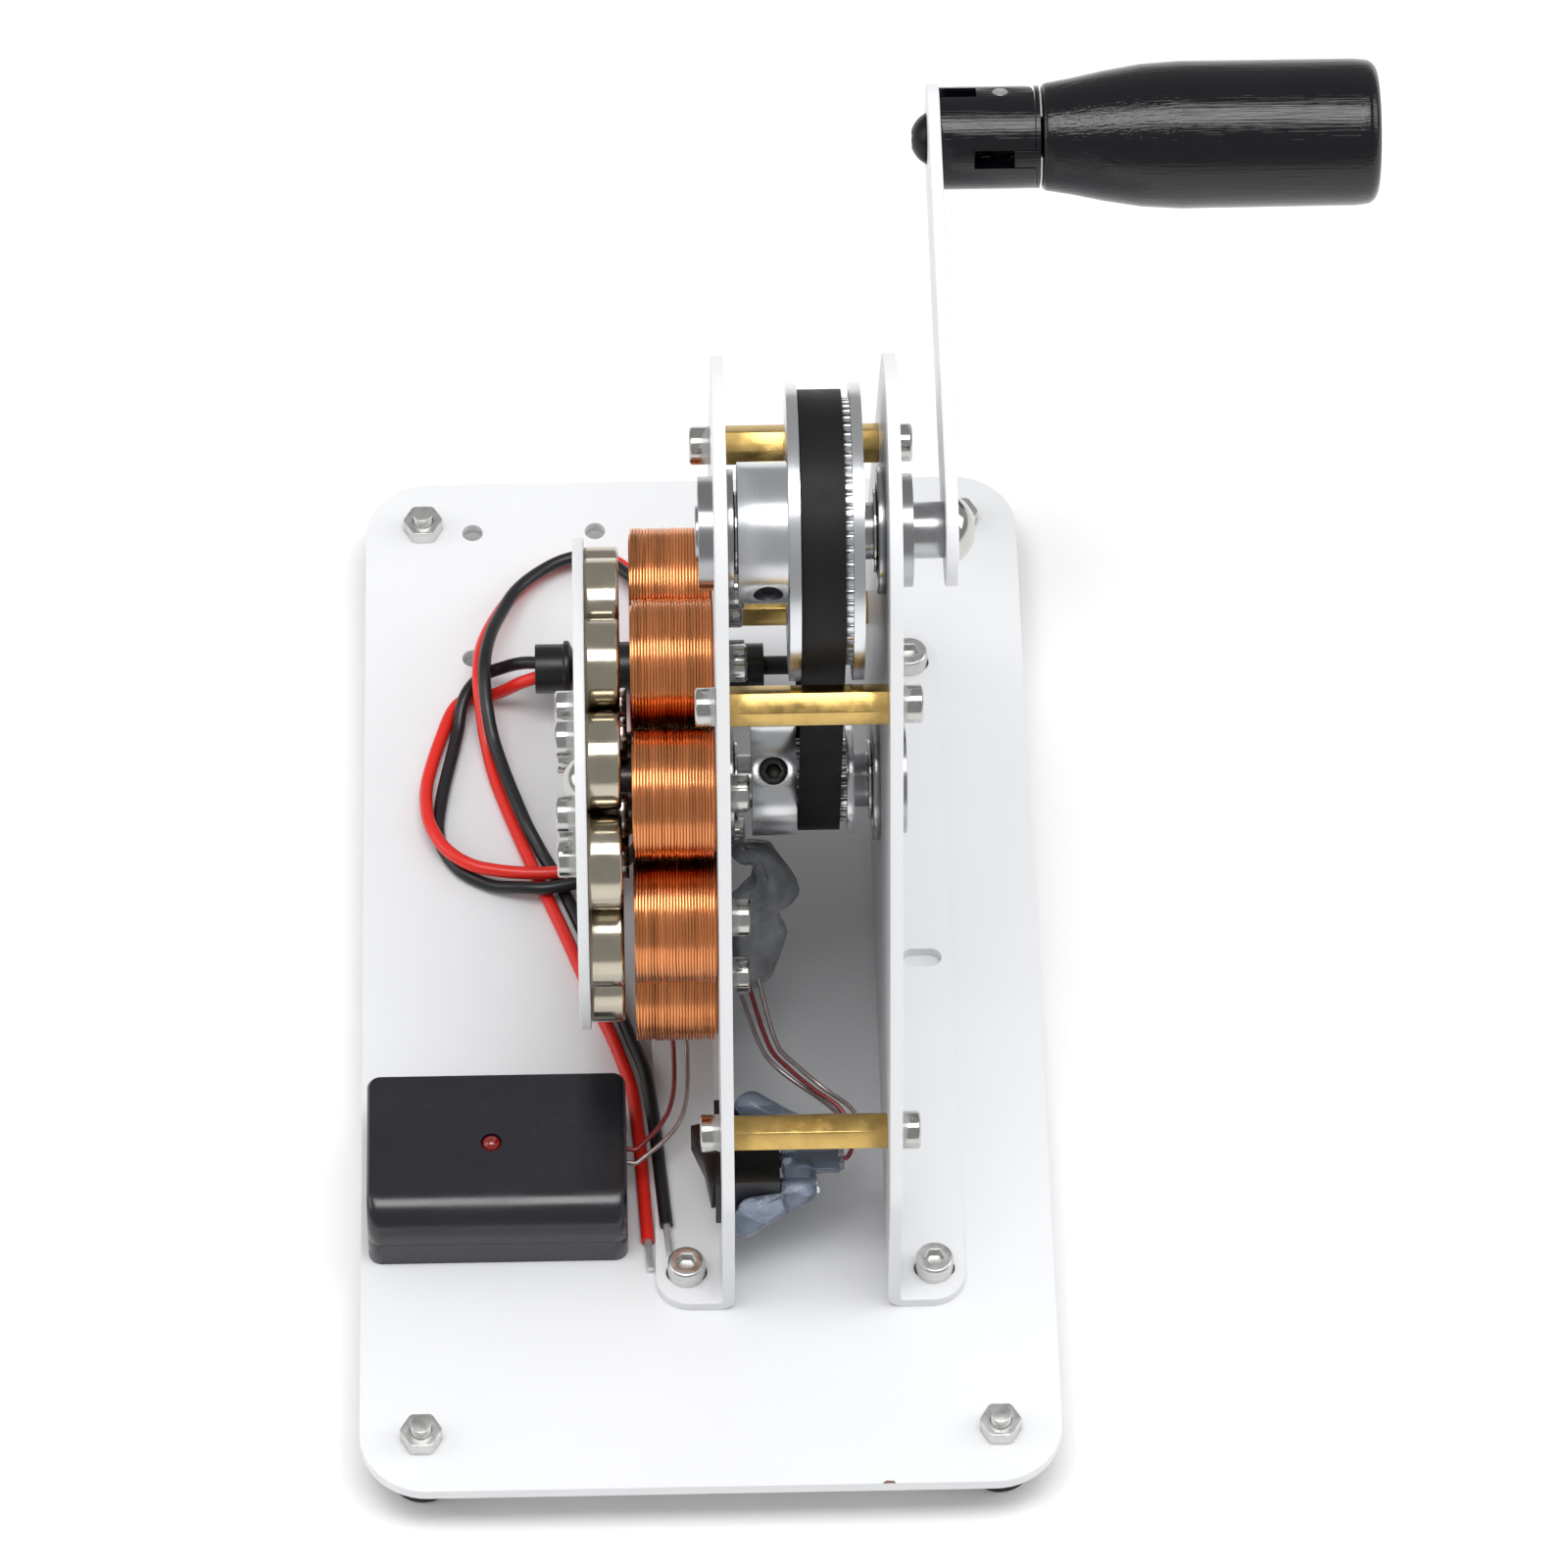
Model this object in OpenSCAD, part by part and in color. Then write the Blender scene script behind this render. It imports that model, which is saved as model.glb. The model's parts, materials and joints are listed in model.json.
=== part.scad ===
// Hand crank generator: a crank and a toothed belt drive a magnet rotor past nine coils.
// X runs to the right, Y to the back and Z up. The origin is under the middle, on the surface it stands on.

/* [Base] */
// Width of the base plate
base_w = 102; // [96:1:140]
// Length of the base plate
base_l = 186; // [176:1:240]
// Thickness of the base plate
base_t = 2; // [1.5:0.1:4]
// Corner radius of the base plate
base_corner_r = 10; // [4:0.5:14]
// Distance of the foot screws from the edges
foot_inset = 9; // [7:0.5:11]
// Height of the rubber feet
foot_h = 8; // [6:0.5:14]
// Diameter of the rubber feet at the plate
foot_d = 11; // [9:0.5:13]
// Width across the row of spare holes
spare_pitch_x = 19.2; // [16:0.5:22]
// Length of the row of spare holes
spare_pitch_y = 24.8; // [20:0.5:26]
// Diameter of the spare holes
spare_hole_d = 3.2; // [2.5:0.1:3.5]

/* [Brackets] */
// Thickness of the bracket sheet
bracket_t = 1.8; // [1.5:0.1:2.2]
// Clear distance between the two brackets, the length of the standoffs
bracket_gap = 22.4; // [21.6:0.1:26]
// Distance from the left edge of the base to the inner face of the left bracket
left_inner_x = 54.9; // [54:0.1:58]
// Length of the bracket feet
flange_l = 123; // [118:1:130]
// Width of the bracket feet, the sheet included
flange_w = 11.5; // [11:0.1:12.5]
// Distance from the front edge of the base to the middle of the brackets
bracket_y = 91.8; // [88:0.1:96]
// Radius of the round head of the brackets
head_r = 25; // [23:0.5:28]
// Height of the straight foot of the brackets
foot_edge_h = 33; // [31:0.5:38]
// Corner radius at the top of the foot of the brackets
foot_edge_r = 8; // [4:0.5:9]
// Corner radius of the bracket feet
flange_r = 5; // [2:0.5:6]
// Distance between the outer screws of a bracket foot
flange_screw_pitch = 112; // [108:1:114]
// Distance from the inner face of a bracket to its foot screws
flange_screw_in = 7; // [6.5:0.1:7.5]
// Length of the slots in the bracket feet
slot_l = 6; // [5:0.2:6.4]

/* [Fasteners] */
// Diameter of the small screws
screw_d = 3; // [2.8:0.1:3.1]
// Diameter of the heads of the small screws
screw_head_d = 5.5; // [5:0.1:5.8]
// Height of the heads of the small screws
screw_head_h = 3; // [2.5:0.1:3.2]
// Width across the flats of the small nuts
nut_af = 5.5; // [5:0.1:5.8]
// Height of the small nuts
nut_h = 2.4; // [2:0.1:2.6]
// Width across the flats of the standoffs
standoff_af = 5; // [4.5:0.1:5.4]
// Distance of the low standoffs from the middle of the brackets
low_standoff_y = 48; // [44:0.5:52]
// Height of the low standoffs over the base plate
low_standoff_z = 26.2; // [25:0.2:28]
// Distance of the high standoffs from the middle of the brackets
high_standoff_y = 23.5; // [23:0.1:24]
// Drop of the high standoffs below the drive shaft
high_standoff_drop = 9.4; // [8.5:0.1:11]

/* [Shafts] */
// Height of the drive shaft over the base plate
drive_z = 105.7; // [105:0.1:107]
// Diameter of both shafts
shaft_d = 8; // [7.9:0.05:8.05]
// Diameter of the bearings
bearing_d = 16; // [15.5:0.1:16.2]
// Width of the bearings
bearing_w = 5; // [4.5:0.1:5.5]
// Diameter of the bearing flanges
bearing_flange_d = 18; // [17.5:0.1:18.5]
// Thickness of the bearing flanges
bearing_flange_t = 1.1; // [0.9:0.05:1.2]

/* [Belt drive] */
// Pitch of the belt teeth
tooth_pitch = 2; // [1.98:0.01:2.02]
// Teeth of the drive pulley
drive_teeth = 60; // [60:1:61]
// Teeth of the driven pulley
driven_teeth = 20; // [19:1:20]
// Distance between the two shafts
shaft_gap = 58.6; // [58.2:0.1:59.4]
// Width of the belt
belt_w = 6.1; // [5.8:0.1:6.4]
// Thickness of the belt between its teeth
belt_t = 1.1; // [0.8:0.05:1.2]
// Distance between the flanges of the pulleys
pulley_slot_w = 7.3; // [6.8:0.1:7.4]
// Diameter of the flanges of the drive pulley
drive_flange_d = 42; // [41:0.2:42.4]
// Thickness of the flanges of the drive pulley
drive_flange_t = 1.6; // [1.2:0.1:1.8]
// Diameter of the flanges and hub of the driven pulley
driven_flange_d = 16; // [15.4:0.1:16.4]
// Thickness of the flanges of the driven pulley
driven_flange_t = 1.1; // [0.9:0.1:1.3]
// Diameter of the hub of the drive pulley
drive_hub_d = 20; // [18:0.2:22]
// Distance from the left bracket to the left side of the belt slot
belt_slot_x = 10.2; // [9.8:0.1:10.6]

/* [Rotor] */
// Diameter of the rotor disc
rotor_d = 72; // [71:0.5:74]
// Thickness of the rotor disc
rotor_t = 1.6; // [1.4:0.1:2]
// Diameter of the magnets
magnet_d = 14; // [12:0.1:14.2]
// Thickness of the magnets
magnet_t = 5; // [4:0.1:5.4]
// Number of magnets
magnet_count = 12; // [8:1:12]
// Radius of the circle of magnets
magnet_ring_r = 28; // [27.5:0.1:28.6]
// Air gap between the magnets and the coils
air_gap = 1.5; // [1:0.1:2]
// Diameter of the flange of the rotor hub
hub_flange_d = 31; // [29:0.5:33]
// Number of rotor hub screws
hub_screw_count = 6; // [3:1:6]
// Radius of the circle of rotor hub screws
hub_screw_ring_r = 11; // [10.6:0.1:11.6]

/* [Stator] */
// Diameter of the coils over the windings
coil_d = 18.8; // [17:0.1:19]
// Length of the coils
coil_l = 12; // [10:0.1:12.4]
// Number of coils
coil_count = 9; // [6:1:9]
// Radius of the circle of coils
coil_ring_r = 28.5; // [28:0.1:29]
// Diameter of the steel poles in the coils
pole_d = 8; // [6:0.2:9]
// Turns of the outer layer of each coil
coil_turns = 10; // [6:1:10]

/* [Crank] */
// Distance between the drive shaft and the handle
crank_r = 72.8; // [60:0.2:76]
// Width of the crank arm
arm_w = 16; // [14:0.5:18]
// Thickness of the crank arm
arm_t = 1.8; // [1.5:0.1:2.4]
// Distance from the right bracket to the crank arm
arm_gap = 6.6; // [6:0.1:8]
// Diameter of the folding joint of the handle
fork_d = 15; // [14:0.1:15.4]
// Length of the fork of the handle
fork_l = 13.8; // [13.4:0.1:14.6]
// Distance from the crank arm to the hinge pin
pin_x = 8.9; // [8.5:0.1:9.4]
// Diameter of the hinge pin
pin_d = 2.5; // [2:0.1:3]
// Tilt of the hinge pin from upright
pin_tilt = 23; // [15:1:30]
// Thickness of the tongue in the fork
tongue_t = 2.6; // [2:0.1:3.4]
// Length of the grip
grip_l = 49.2; // [44:0.2:56]
// Largest diameter of the grip
grip_d = 21.6; // [20:0.2:23]
// Diameter of the grip beside the fork
grip_neck_d = 15.7; // [15.4:0.1:17]
// Diameter of the spindle in the grip
spindle_d = 6; // [5:0.1:7]

/* [Box] */
// Width of the plastic box
box_w = 38.2; // [34:0.2:38.4]
// Depth of the plastic box
box_l = 26; // [24:0.2:27]
// Height of the plastic box
box_h = 11.6; // [11:0.1:13]
// Wall of the plastic box
box_wall = 1.4; // [1:0.1:1.8]
// Edge radius of the plastic box
box_r = 2; // [1.8:0.1:3]
// Radius of the rounded front edge on top of the box
box_front_r = 5; // [4:0.2:5.4]
// Distance from the left edge of the base to the box
box_x = 1.2; // [1:0.1:1.5]
// Distance from the front edge of the base to the box
box_y = 39.3; // [36:0.1:42]
// Diameter of the lamp in the box
lamp_d = 3; // [2:0.1:4]

/* [Switch] */
// Length of the switch frame along the bracket
switch_l = 15; // [14:0.1:15.4]
// Height of the switch frame
switch_h = 10; // [9.4:0.1:10.4]
// Thickness of the switch frame
switch_rim = 0.8; // [0.7:0.1:1.2]
// Depth of the switch behind its frame
switch_depth = 8.6; // [8.2:0.1:9]
// Distance of the switch in front of the middle of the brackets
switch_y = 45; // [44.6:0.1:46]
// Height of the switch over the base plate
switch_z = 14.4; // [13.6:0.1:14.8]

/* [Leads] */
// Diameter of the output leads
lead_d = 2; // [1.6:0.1:2]
// Diameter of the thin wires
wire_d = 0.7; // [0.5:0.1:0.8]
// Diameter of the cable gland's collar
gland_d = 7.6; // [7:0.1:8]
// Height of the cable gland over the base plate
gland_z = 9; // [8.8:0.1:11]
// Distance of the cable gland behind the middle of the brackets
gland_y = 50.4; // [50:0.1:52]

/* [Hidden] */

$fn = 64;
hull_fn = 20;
overrun = 0.5;
slip = 0.05;
run_fit = 0.03;
screw_hole_gap = 0.1;
spare_x = 16.7;
spare_back = 9.8;
hex_ratio = 2 / sqrt(3);

coat = "#F4F6FA";
steel = "#BFC3C6";
bright = "#D9DBDD";
black_plastic = "#3A3A40";
brass_colour = "#C9A648";
copper = "#C8703C";
rubber = "#26262A";

// Places, from the front left corner of the base plate and the top face of the plate
grip_gap = 0.3;
collar_t = 0.7;
collar_gap = 0.1;
right_inner_x = left_inner_x + bracket_gap;
arm_x = right_inner_x + bracket_t + arm_gap;
fork_x = arm_x + arm_t;
grip_x = fork_x + fork_l + collar_gap + collar_t + grip_gap;
span_x = grip_x + grip_l;
driven_z = drive_z - shaft_gap;
handle_y = bracket_y + crank_r;
coil_x = left_inner_x - bracket_t - coil_l;
magnet_x = coil_x - air_gap - magnet_t;
rotor_x = magnet_x - rotor_t;
pulley_x = left_inner_x + belt_slot_x;

// Screws and nuts
m3_r = screw_d / 2;
m3_hole_r = m3_r + screw_hole_gap;
socket_af = 2.5;
socket_depth = 1.6;
washer_t = 0.5;
washer_d = 11.7;
foot_screw_tip = 1.6;
foot_recess_d = 7;
foot_recess_h = 3.4;
foot_tip_d = 9.6;
bend_r = 2.6;
nut_tip = 1;
standoff_screw_l = 8;
standoff_turn = -23;
set_screw_d = 4;
set_screw_l = 4;
set_hole_d = 4.2;
hub_gap = 0.05;
drive_turn = 280;
driven_turn = 116;

// Belt and pulleys
tooth_tip_drop = 0.254;
drive_r = drive_teeth * tooth_pitch / (2 * PI) - tooth_tip_drop;
driven_r = driven_teeth * tooth_pitch / (2 * PI) - tooth_tip_drop;
groove_r = 0.56;
belt_clear = 0.12;
belt_tooth_r = 0.5;
belt_side_gap = 0.15;
belt_lean = asin((drive_r - driven_r) / shaft_gap);
belt_span = shaft_gap * cos(belt_lean);
belt_big_keep = 7;
belt_small_keep = 5;
driven_hub_l = 5.4;

// Rotor hub and end screw
hub_flange_t = 3.5;
hub_boss_d = 15;
hub_boss_l = 10;
hub_set_l = 3;
hub_nut_h = 2.4;
end_head_d = 7.6;
end_head_h = 2.2;
end_screw_d = 4;
end_screw_l = 10;
shaft_stub = 0.4;

// Coils
turn_h = 0.62;
turn_w = 0.7;
core_gap = 0.28;
turn_rings = 14;
turn_sides = 3;
pole_clear = 0.05;
pole_screw_depth = 8;

// Crank and handle
arm_screw_d = 5;
arm_screw_l = 14;
arm_head_d = 9.5;
arm_head_h = 2.75;
fork_screw_d = 4;
fork_screw_l = 5.6;
fork_head_d = 7.6;
fork_head_h = 2.4;
fork_floor = 4.9;
fork_slot_gap = 0.3;
fork_slot_w = tongue_t + fork_slot_gap;
fork_turn_r = 4.75;
notch_l = 5.4;
notch_w = 3;
notch_depth = 1.6;
tongue_gap = 0.25;
step_from_pin = 1.85;
pin_drop = 0.1;
spindle_tail = 4;

// Box
box_split_h = 5;
box_edge_r = 0.9;
box_front_share = 0.35;
board_t = 1.6;
board_gap = 0.3;
board_lift = 3.4;
board_post_d = 3;
part_can_d = 5;
part_can_h = 4;
part_chip_w = 6;
part_chip_h = 2;
lamp_x_share = 0.48;
lamp_y_share = 0.52;
lamp_up = 0.6;

// Switch
rocker_tilt = 15;
rocker_l = 11.6;
rocker_h = 6.2;
rocker_out = 4.2;
rocker_in = 0.4;
rocker_axle_x = 0.6;
rocker_axle_d = 1.6;
rocker_stub = 0.5;
rocker_stub_gap = 0.1;
rocker_clear = 0.35;
switch_wall = 0.9;
terminal_w = 2.2;
terminal_t = 0.6;
terminal_l = 6.5;
terminal_pitch = 4.5;
sleeve_x = 11.2;
sleeve_w = 2.6;
switch_sleeve_l = 6;
glue_trim = 20;
terminal_rows = [-1, 0, 1];
sleeve_rows = [0, 1];
switch_blobs = [[4.6, 7.2, 3.4, 2.6], [10.8, 4.6, 0.8, 2.9], [11.0, 0.0, 0.0, 2.7], [11.8, -4.4, -0.4, 2.7],
    [5.2, -7.4, -2.0, 2.9], [3.4, -8.6, -3.8, 2.2]];
sleeve_blobs = [[11.6, 0.0, 0.0, 2.4], [16.4, 0.0, -0.2, 2.2]];

// Cable gland
gland_x = 26.5;
gland_collar_l = 5.2;
gland_waist_d = 5.2;
gland_body_d = 8;
gland_body_x = 12.4;
gland_body_end = 32.2;
gland_tube_d = 4.8;
gland_nut_d = 6.9;
gland_end_x = 35.1;
gland_mouth_d = 4.8;
gland_mouth_l = 1.5;
gland_rib_t = 0.8;
gland_rib_h = 0.5;
sleeve_d = 2.9;
sleeve_l = 6.4;
tip_d = 1.1;
tip_l = 5;

// Routes of the free leads, from the front left corner of the plate and over its top face.
// They leave the gland, turn once under the rotor, lie across themselves and end at the front.
black_route = [
    [28.0, 143.35, 9.0], [24.6, 144.5, 7.6], [21.4, 145.7, 4.9], [18.2, 145.1, 3.6], [15.5, 141.4, 3.1],
    [14.3, 135.6, 1.3], [11.8, 122.6, 1.1], [11.6, 115.8, 1.1], [14.4, 110.3, 1.1], [19.2, 107.1, 1.2],
    [24.4, 105.3, 2.8], [28.8, 104.9, 3.3], [37.2, 107.4, 3.3], [42.2, 113.2, 3.1], [43.9, 121.0, 2.9],
    [43.9, 148.0, 2.9], [44.2, 154.6, 3.6], [43.6, 160.8, 4.1], [40.5, 165.1, 3.4], [36.2, 168.7, 3.1],
    [31.5, 168.3, 3.0], [27.2, 165.8, 3.0], [23.6, 161.8, 3.6], [21.2, 156.2, 5.0], [19.5, 150.2, 6.9],
    [18.7, 144.0, 7.8], [19.0, 137.5, 6.3], [20.2, 131.6, 3.8], [24.6, 118.0, 2.8], [27.3, 112.4, 1.5],
    [29.8, 107.4, 1.1], [35.0, 93.4, 1.1], [40.4, 77.4, 1.9], [42.6, 69.4, 2.9], [45.1, 43.4, 2.9]];
red_route = [
    [28.0, 141.05, 9.0], [24.4, 141.2, 7.0], [21.4, 142.0, 3.8], [18.8, 142.8, 1.5], [16.2, 142.9, 1.1],
    [14.0, 141.0, 1.1], [12.5, 137.4, 1.1], [9.9, 127.6, 1.2], [9.6, 121.8, 2.2], [10.5, 116.4, 3.2],
    [13.2, 111.9, 3.2], [18.2, 108.8, 3.2], [29.4, 107.6, 3.4], [35.0, 109.9, 3.4], [38.4, 113.0, 3.0],
    [40.8, 118.4, 2.0], [41.8, 125.2, 1.2], [41.9, 148.4, 1.1], [42.2, 155.0, 1.1], [42.8, 162.2, 1.2],
    [40.6, 167.8, 1.1], [35.4, 170.5, 1.1], [30.4, 169.2, 1.1], [25.8, 165.8, 1.1], [22.2, 161.0, 1.7],
    [19.8, 155.4, 3.4], [18.2, 149.4, 5.3], [17.7, 143.6, 5.8], [18.1, 138.0, 4.1], [18.9, 132.8, 1.8],
    [20.3, 126.4, 1.1], [24.9, 112.6, 1.1], [30.3, 98.3, 1.1], [35.2, 84.4, 1.1], [38.2, 76.4, 1.1],
    [40.6, 67.0, 1.1], [42.3, 41.9, 1.1]];

// Route of the thin wires from the box to the coils, and of those from the switch to the glue lump
box_wire_routes = [
    [[39.4, 55.0, 6.0], [41.0, 55.0, 6.0], [45.8, 61.0, 7.4], [46.6, 70.0, 9.8], [45.6, 76.0, 14.2]],
    [[39.4, 52.6, 6.0], [41.0, 52.6, 6.0], [47.4, 59.0, 7.6], [48.6, 69.0, 9.8], [47.6, 76.0, 14.2]]];
switch_wire_routes = [
    [[70.3, 46.8, 14.4], [71.9, 47.3, 14.6], [72.5, 49.8, 16.0], [70.8, 53.6, 17.6], [67.0, 56.8, 18.1],
        [63.6, 60.1, 18.5], [60.8, 63.6, 19.0], [57.8, 73.4, 21.2]],
    [[70.3, 51.3, 14.9], [72.0, 51.9, 15.0], [72.9, 54.0, 16.0], [68.3, 56.9, 18.4], [64.8, 60.3, 18.9],
        [61.9, 63.8, 19.3], [59.2, 74.0, 22.2]],
    [[70.3, 51.3, 13.9], [71.4, 52.4, 14.0], [70.2, 54.8, 15.2], [62.4, 60.2, 17.8], [59.7, 63.6, 18.4],
        [56.7, 72.6, 19.9]]];

lump_blobs = [[57.4, 87.0, 36.0, 2.5], [60.3, 87.0, 36.0, 2.3], [61.8, 84.2, 31.0, 4.0],
    [57.6, 82.0, 28.5, 3.6], [59.4, 80.2, 26.0, 4.6], [58.4, 76.3, 21.5, 3.4]];

// Puts its children at a place given from the corner of the base plate and over its top face
module at(x, y, z) {
    translate([x - span_x / 2, y - base_l / 2, z + foot_h + base_t]) children();
}

// The same, with the children's own Z axis along X
module along_x(x, y, z) {
    at(x, y, z) rotate([0, 90, 0]) children();
}

// The same, with the children's own Z axis pointing to the left
module along_left(x, y, z) {
    at(x, y, z) rotate([0, -90, 0]) children();
}

module ring(outer_d, inner_d, h) {
    difference() {
        cylinder(d = outer_d, h = h);
        translate([0, 0, -overrun]) cylinder(d = inner_d, h = h + 2 * overrun);
    }
}

// Socket cap screw: head below zero, shank up to its length
module cap_screw(l, head_d = screw_head_d, head_h = screw_head_h, d = screw_d) {
    edge = head_h / 10;
    difference() {
        union() {
            cylinder(d = d, h = l);
            translate([0, 0, edge - head_h]) cylinder(d = head_d, h = head_h - edge);
            translate([0, 0, -head_h]) cylinder(d1 = head_d - 2 * edge, d2 = head_d, h = edge);
        }
        translate([0, 0, -head_h - overrun])
            cylinder(d = socket_af * hex_ratio * head_d / screw_head_d, h = socket_depth + overrun, $fn = 6);
    }
}

// Button head screw: domed head below zero, shank up to its length
module button_screw(l, d, head_d, head_h) {
    dome_r = (pow(head_d / 2, 2) + pow(head_h, 2)) / (2 * head_h);
    difference() {
        union() {
            cylinder(d = d, h = l);
            intersection() {
                translate([0, 0, dome_r - head_h]) sphere(r = dome_r);
                translate([0, 0, -head_h]) cylinder(d = head_d, h = head_h);
            }
        }
        translate([0, 0, -head_h - overrun])
            cylinder(d = head_d / 3 * hex_ratio, h = head_h * 2 / 3 + overrun, $fn = 6);
    }
}

module hex_nut(af, h, bore_r) {
    difference() {
        intersection() {
            cylinder(d = af * hex_ratio, h = h, $fn = 6);
            cylinder(d = af * hex_ratio - h / 8, h = h);
        }
        translate([0, 0, -overrun]) cylinder(r = bore_r, h = h + 2 * overrun);
    }
}

module slot_2d(l, w) {
    square([l - w, w], center = true);
    for (side = [-1, 1])
        translate([side * (l - w) / 2, 0]) circle(d = w);
}

module round_rect_2d(w, l, r) {
    translate([r, 0]) square([w - 2 * r, l]);
    translate([0, r]) square([w, l - 2 * r]);
    for (x = [r, w - r])
        for (y = [r, l - r])
            translate([x, y]) circle(r = r);
}

// Tube swept along route points, its rings square to the run of the route
function unit(v) = v / norm(v);
function run_dir(p, i) = unit(p[min(i + 1, len(p) - 1)] - p[max(i - 1, 0)]);
function side_of(t) = abs(t[2]) > 0.95 ? unit(cross(t, [1, 0, 0])) : unit(cross(t, [0, 0, 1]));
function ring_at(c, t, r, sides) = let (a = side_of(t), b = cross(t, a))
    [for (k = [0:sides - 1]) c + r * (cos(360 * k / sides) * a + sin(360 * k / sides) * b)];
module swept(points, sides) {
    rings = len(points) / sides;
    faces = concat(
        [for (i = [0:rings - 2]) for (k = [0:sides - 1])
            [i * sides + k, (i + 1) * sides + k, (i + 1) * sides + (k + 1) % sides]],
        [for (i = [0:rings - 2]) for (k = [0:sides - 1])
            [i * sides + k, (i + 1) * sides + (k + 1) % sides, i * sides + (k + 1) % sides]],
        [for (k = [1:sides - 2]) [0, k, k + 1]],
        [for (k = [1:sides - 2])
            [(rings - 1) * sides, (rings - 1) * sides + k + 1, (rings - 1) * sides + k]]);
    polyhedron(points = points, faces = faces, convexity = 8);
}
module tube(route, d, sides = 8) {
    last = len(route) - 1;
    swept([for (i = [0:last]) each ring_at(route[i], run_dir(route, i), d / 2, sides)], sides);
}

foot_places = [for (x = [foot_inset, base_w - foot_inset])
    for (y = [foot_inset, base_l - foot_inset]) [x, y]];
flange_screw_places = [for (x = [left_inner_x - flange_screw_in, right_inner_x + flange_screw_in])
    for (y = [-1, 1]) [x, bracket_y + y * flange_screw_pitch / 2]];
standoff_places = [for (side = [-1, 1]) [side * low_standoff_y, low_standoff_z, standoff_turn],
    for (side = [-1, 1]) [side * high_standoff_y, drive_z - high_standoff_drop, 0]];
coil_places = [for (i = [0:coil_count - 1]) let (a = 360 * i / coil_count)
    [coil_ring_r * sin(a), driven_z + coil_ring_r * cos(a)]];

module base_plate() {
    spare_y = base_l - spare_back - spare_pitch_y;
    color(coat) at(0, 0, -base_t) difference() {
        linear_extrude(base_t) round_rect_2d(base_w, base_l, base_corner_r);
        for (p = foot_places)
            translate([p[0], p[1], -overrun]) cylinder(r = m3_hole_r, h = base_t + 2 * overrun);
        for (p = flange_screw_places)
            translate([p[0], p[1], -overrun]) cylinder(r = m3_hole_r, h = base_t + 2 * overrun);
        for (i = [0, 1])
            for (j = [0, 1])
                translate([spare_x + i * spare_pitch_x, spare_y + j * spare_pitch_y, -overrun])
                    cylinder(d = spare_hole_d, h = base_t + 2 * overrun);
    }
}

module rubber_feet() {
    color(rubber)
        for (p = foot_places)
            at(p[0], p[1], -base_t - foot_h) difference() {
                cylinder(d1 = foot_tip_d, d2 = foot_d, h = foot_h);
                translate([0, 0, -overrun]) cylinder(d = foot_recess_d, h = foot_recess_h + overrun);
                cylinder(r = m3_r + slip, h = foot_h + overrun);
            }
}

module foot_screws() {
    color(steel)
        for (p = foot_places)
            at(p[0], p[1], foot_recess_h - base_t - foot_h)
                cap_screw(foot_h - foot_recess_h + base_t + nut_h + foot_screw_tip);
}

module foot_nuts() {
    color(bright)
        for (p = foot_places)
            at(p[0], p[1], 0) hex_nut(nut_af, nut_h, m3_r + slip);
}

// Side outline of a bracket about the foot of its middle line: a round head on sloping shoulders
module bracket_outline() {
    shoulder_y = flange_l / 2 - foot_edge_r;
    shoulder_z = foot_edge_h - foot_edge_r;
    run = [shoulder_y, shoulder_z - drive_z];
    run_l = norm(run);
    normal_a = atan2(run[1], run[0]) + acos((head_r - foot_edge_r) / run_l);
    n = [cos(normal_a), sin(normal_a)];
    translate([0, drive_z]) circle(r = head_r);
    for (side = [-1, 1])
        scale([side, 1]) {
            polygon([[0, drive_z], [0, drive_z] + head_r * n,
                [shoulder_y, shoulder_z] + foot_edge_r * n, [shoulder_y, shoulder_z], [0, shoulder_z]]);
            translate([shoulder_y, shoulder_z]) circle(r = foot_edge_r);
        }
    translate([-shoulder_y, bend_r]) square([2 * shoulder_y, foot_edge_h - bend_r - foot_edge_r]);
    translate([-flange_l / 2, bend_r]) square([flange_l, shoulder_z - bend_r]);
}

// Bracket with its inner face at x = 0 and its foot towards positive x
module bracket() {
    foot_l = flange_w - bend_r;
    difference() {
        union() {
            rotate([90, 0, 90]) linear_extrude(bracket_t) bracket_outline();
            translate([0, flange_l / 2, 0]) rotate([90, 0, 0]) linear_extrude(flange_l)
                intersection() {
                    difference() {
                        translate([bend_r, bend_r]) circle(r = bend_r);
                        translate([bend_r, bend_r]) circle(r = bend_r - bracket_t);
                    }
                    square(bend_r);
                }
            translate([bend_r, -flange_l / 2, 0]) linear_extrude(bracket_t) intersection() {
                translate([-flange_r, 0]) round_rect_2d(foot_l + flange_r, flange_l, flange_r);
                square([foot_l, flange_l]);
            }
        }
        for (p = standoff_places)
            translate([-overrun, p[0], p[1]]) rotate([0, 90, 0])
                cylinder(r = m3_hole_r, h = bracket_t + 2 * overrun);
        for (z = [drive_z, driven_z])
            translate([-overrun, 0, z]) rotate([0, 90, 0])
                cylinder(d = bearing_d + 2 * slip, h = bracket_t + 2 * overrun);
        for (y = [-flange_screw_pitch / 2, 0, flange_screw_pitch / 2])
            translate([flange_screw_in, y, -overrun]) linear_extrude(bracket_t + 2 * overrun)
                slot_2d(slot_l, 2 * m3_hole_r);
    }
}

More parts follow.
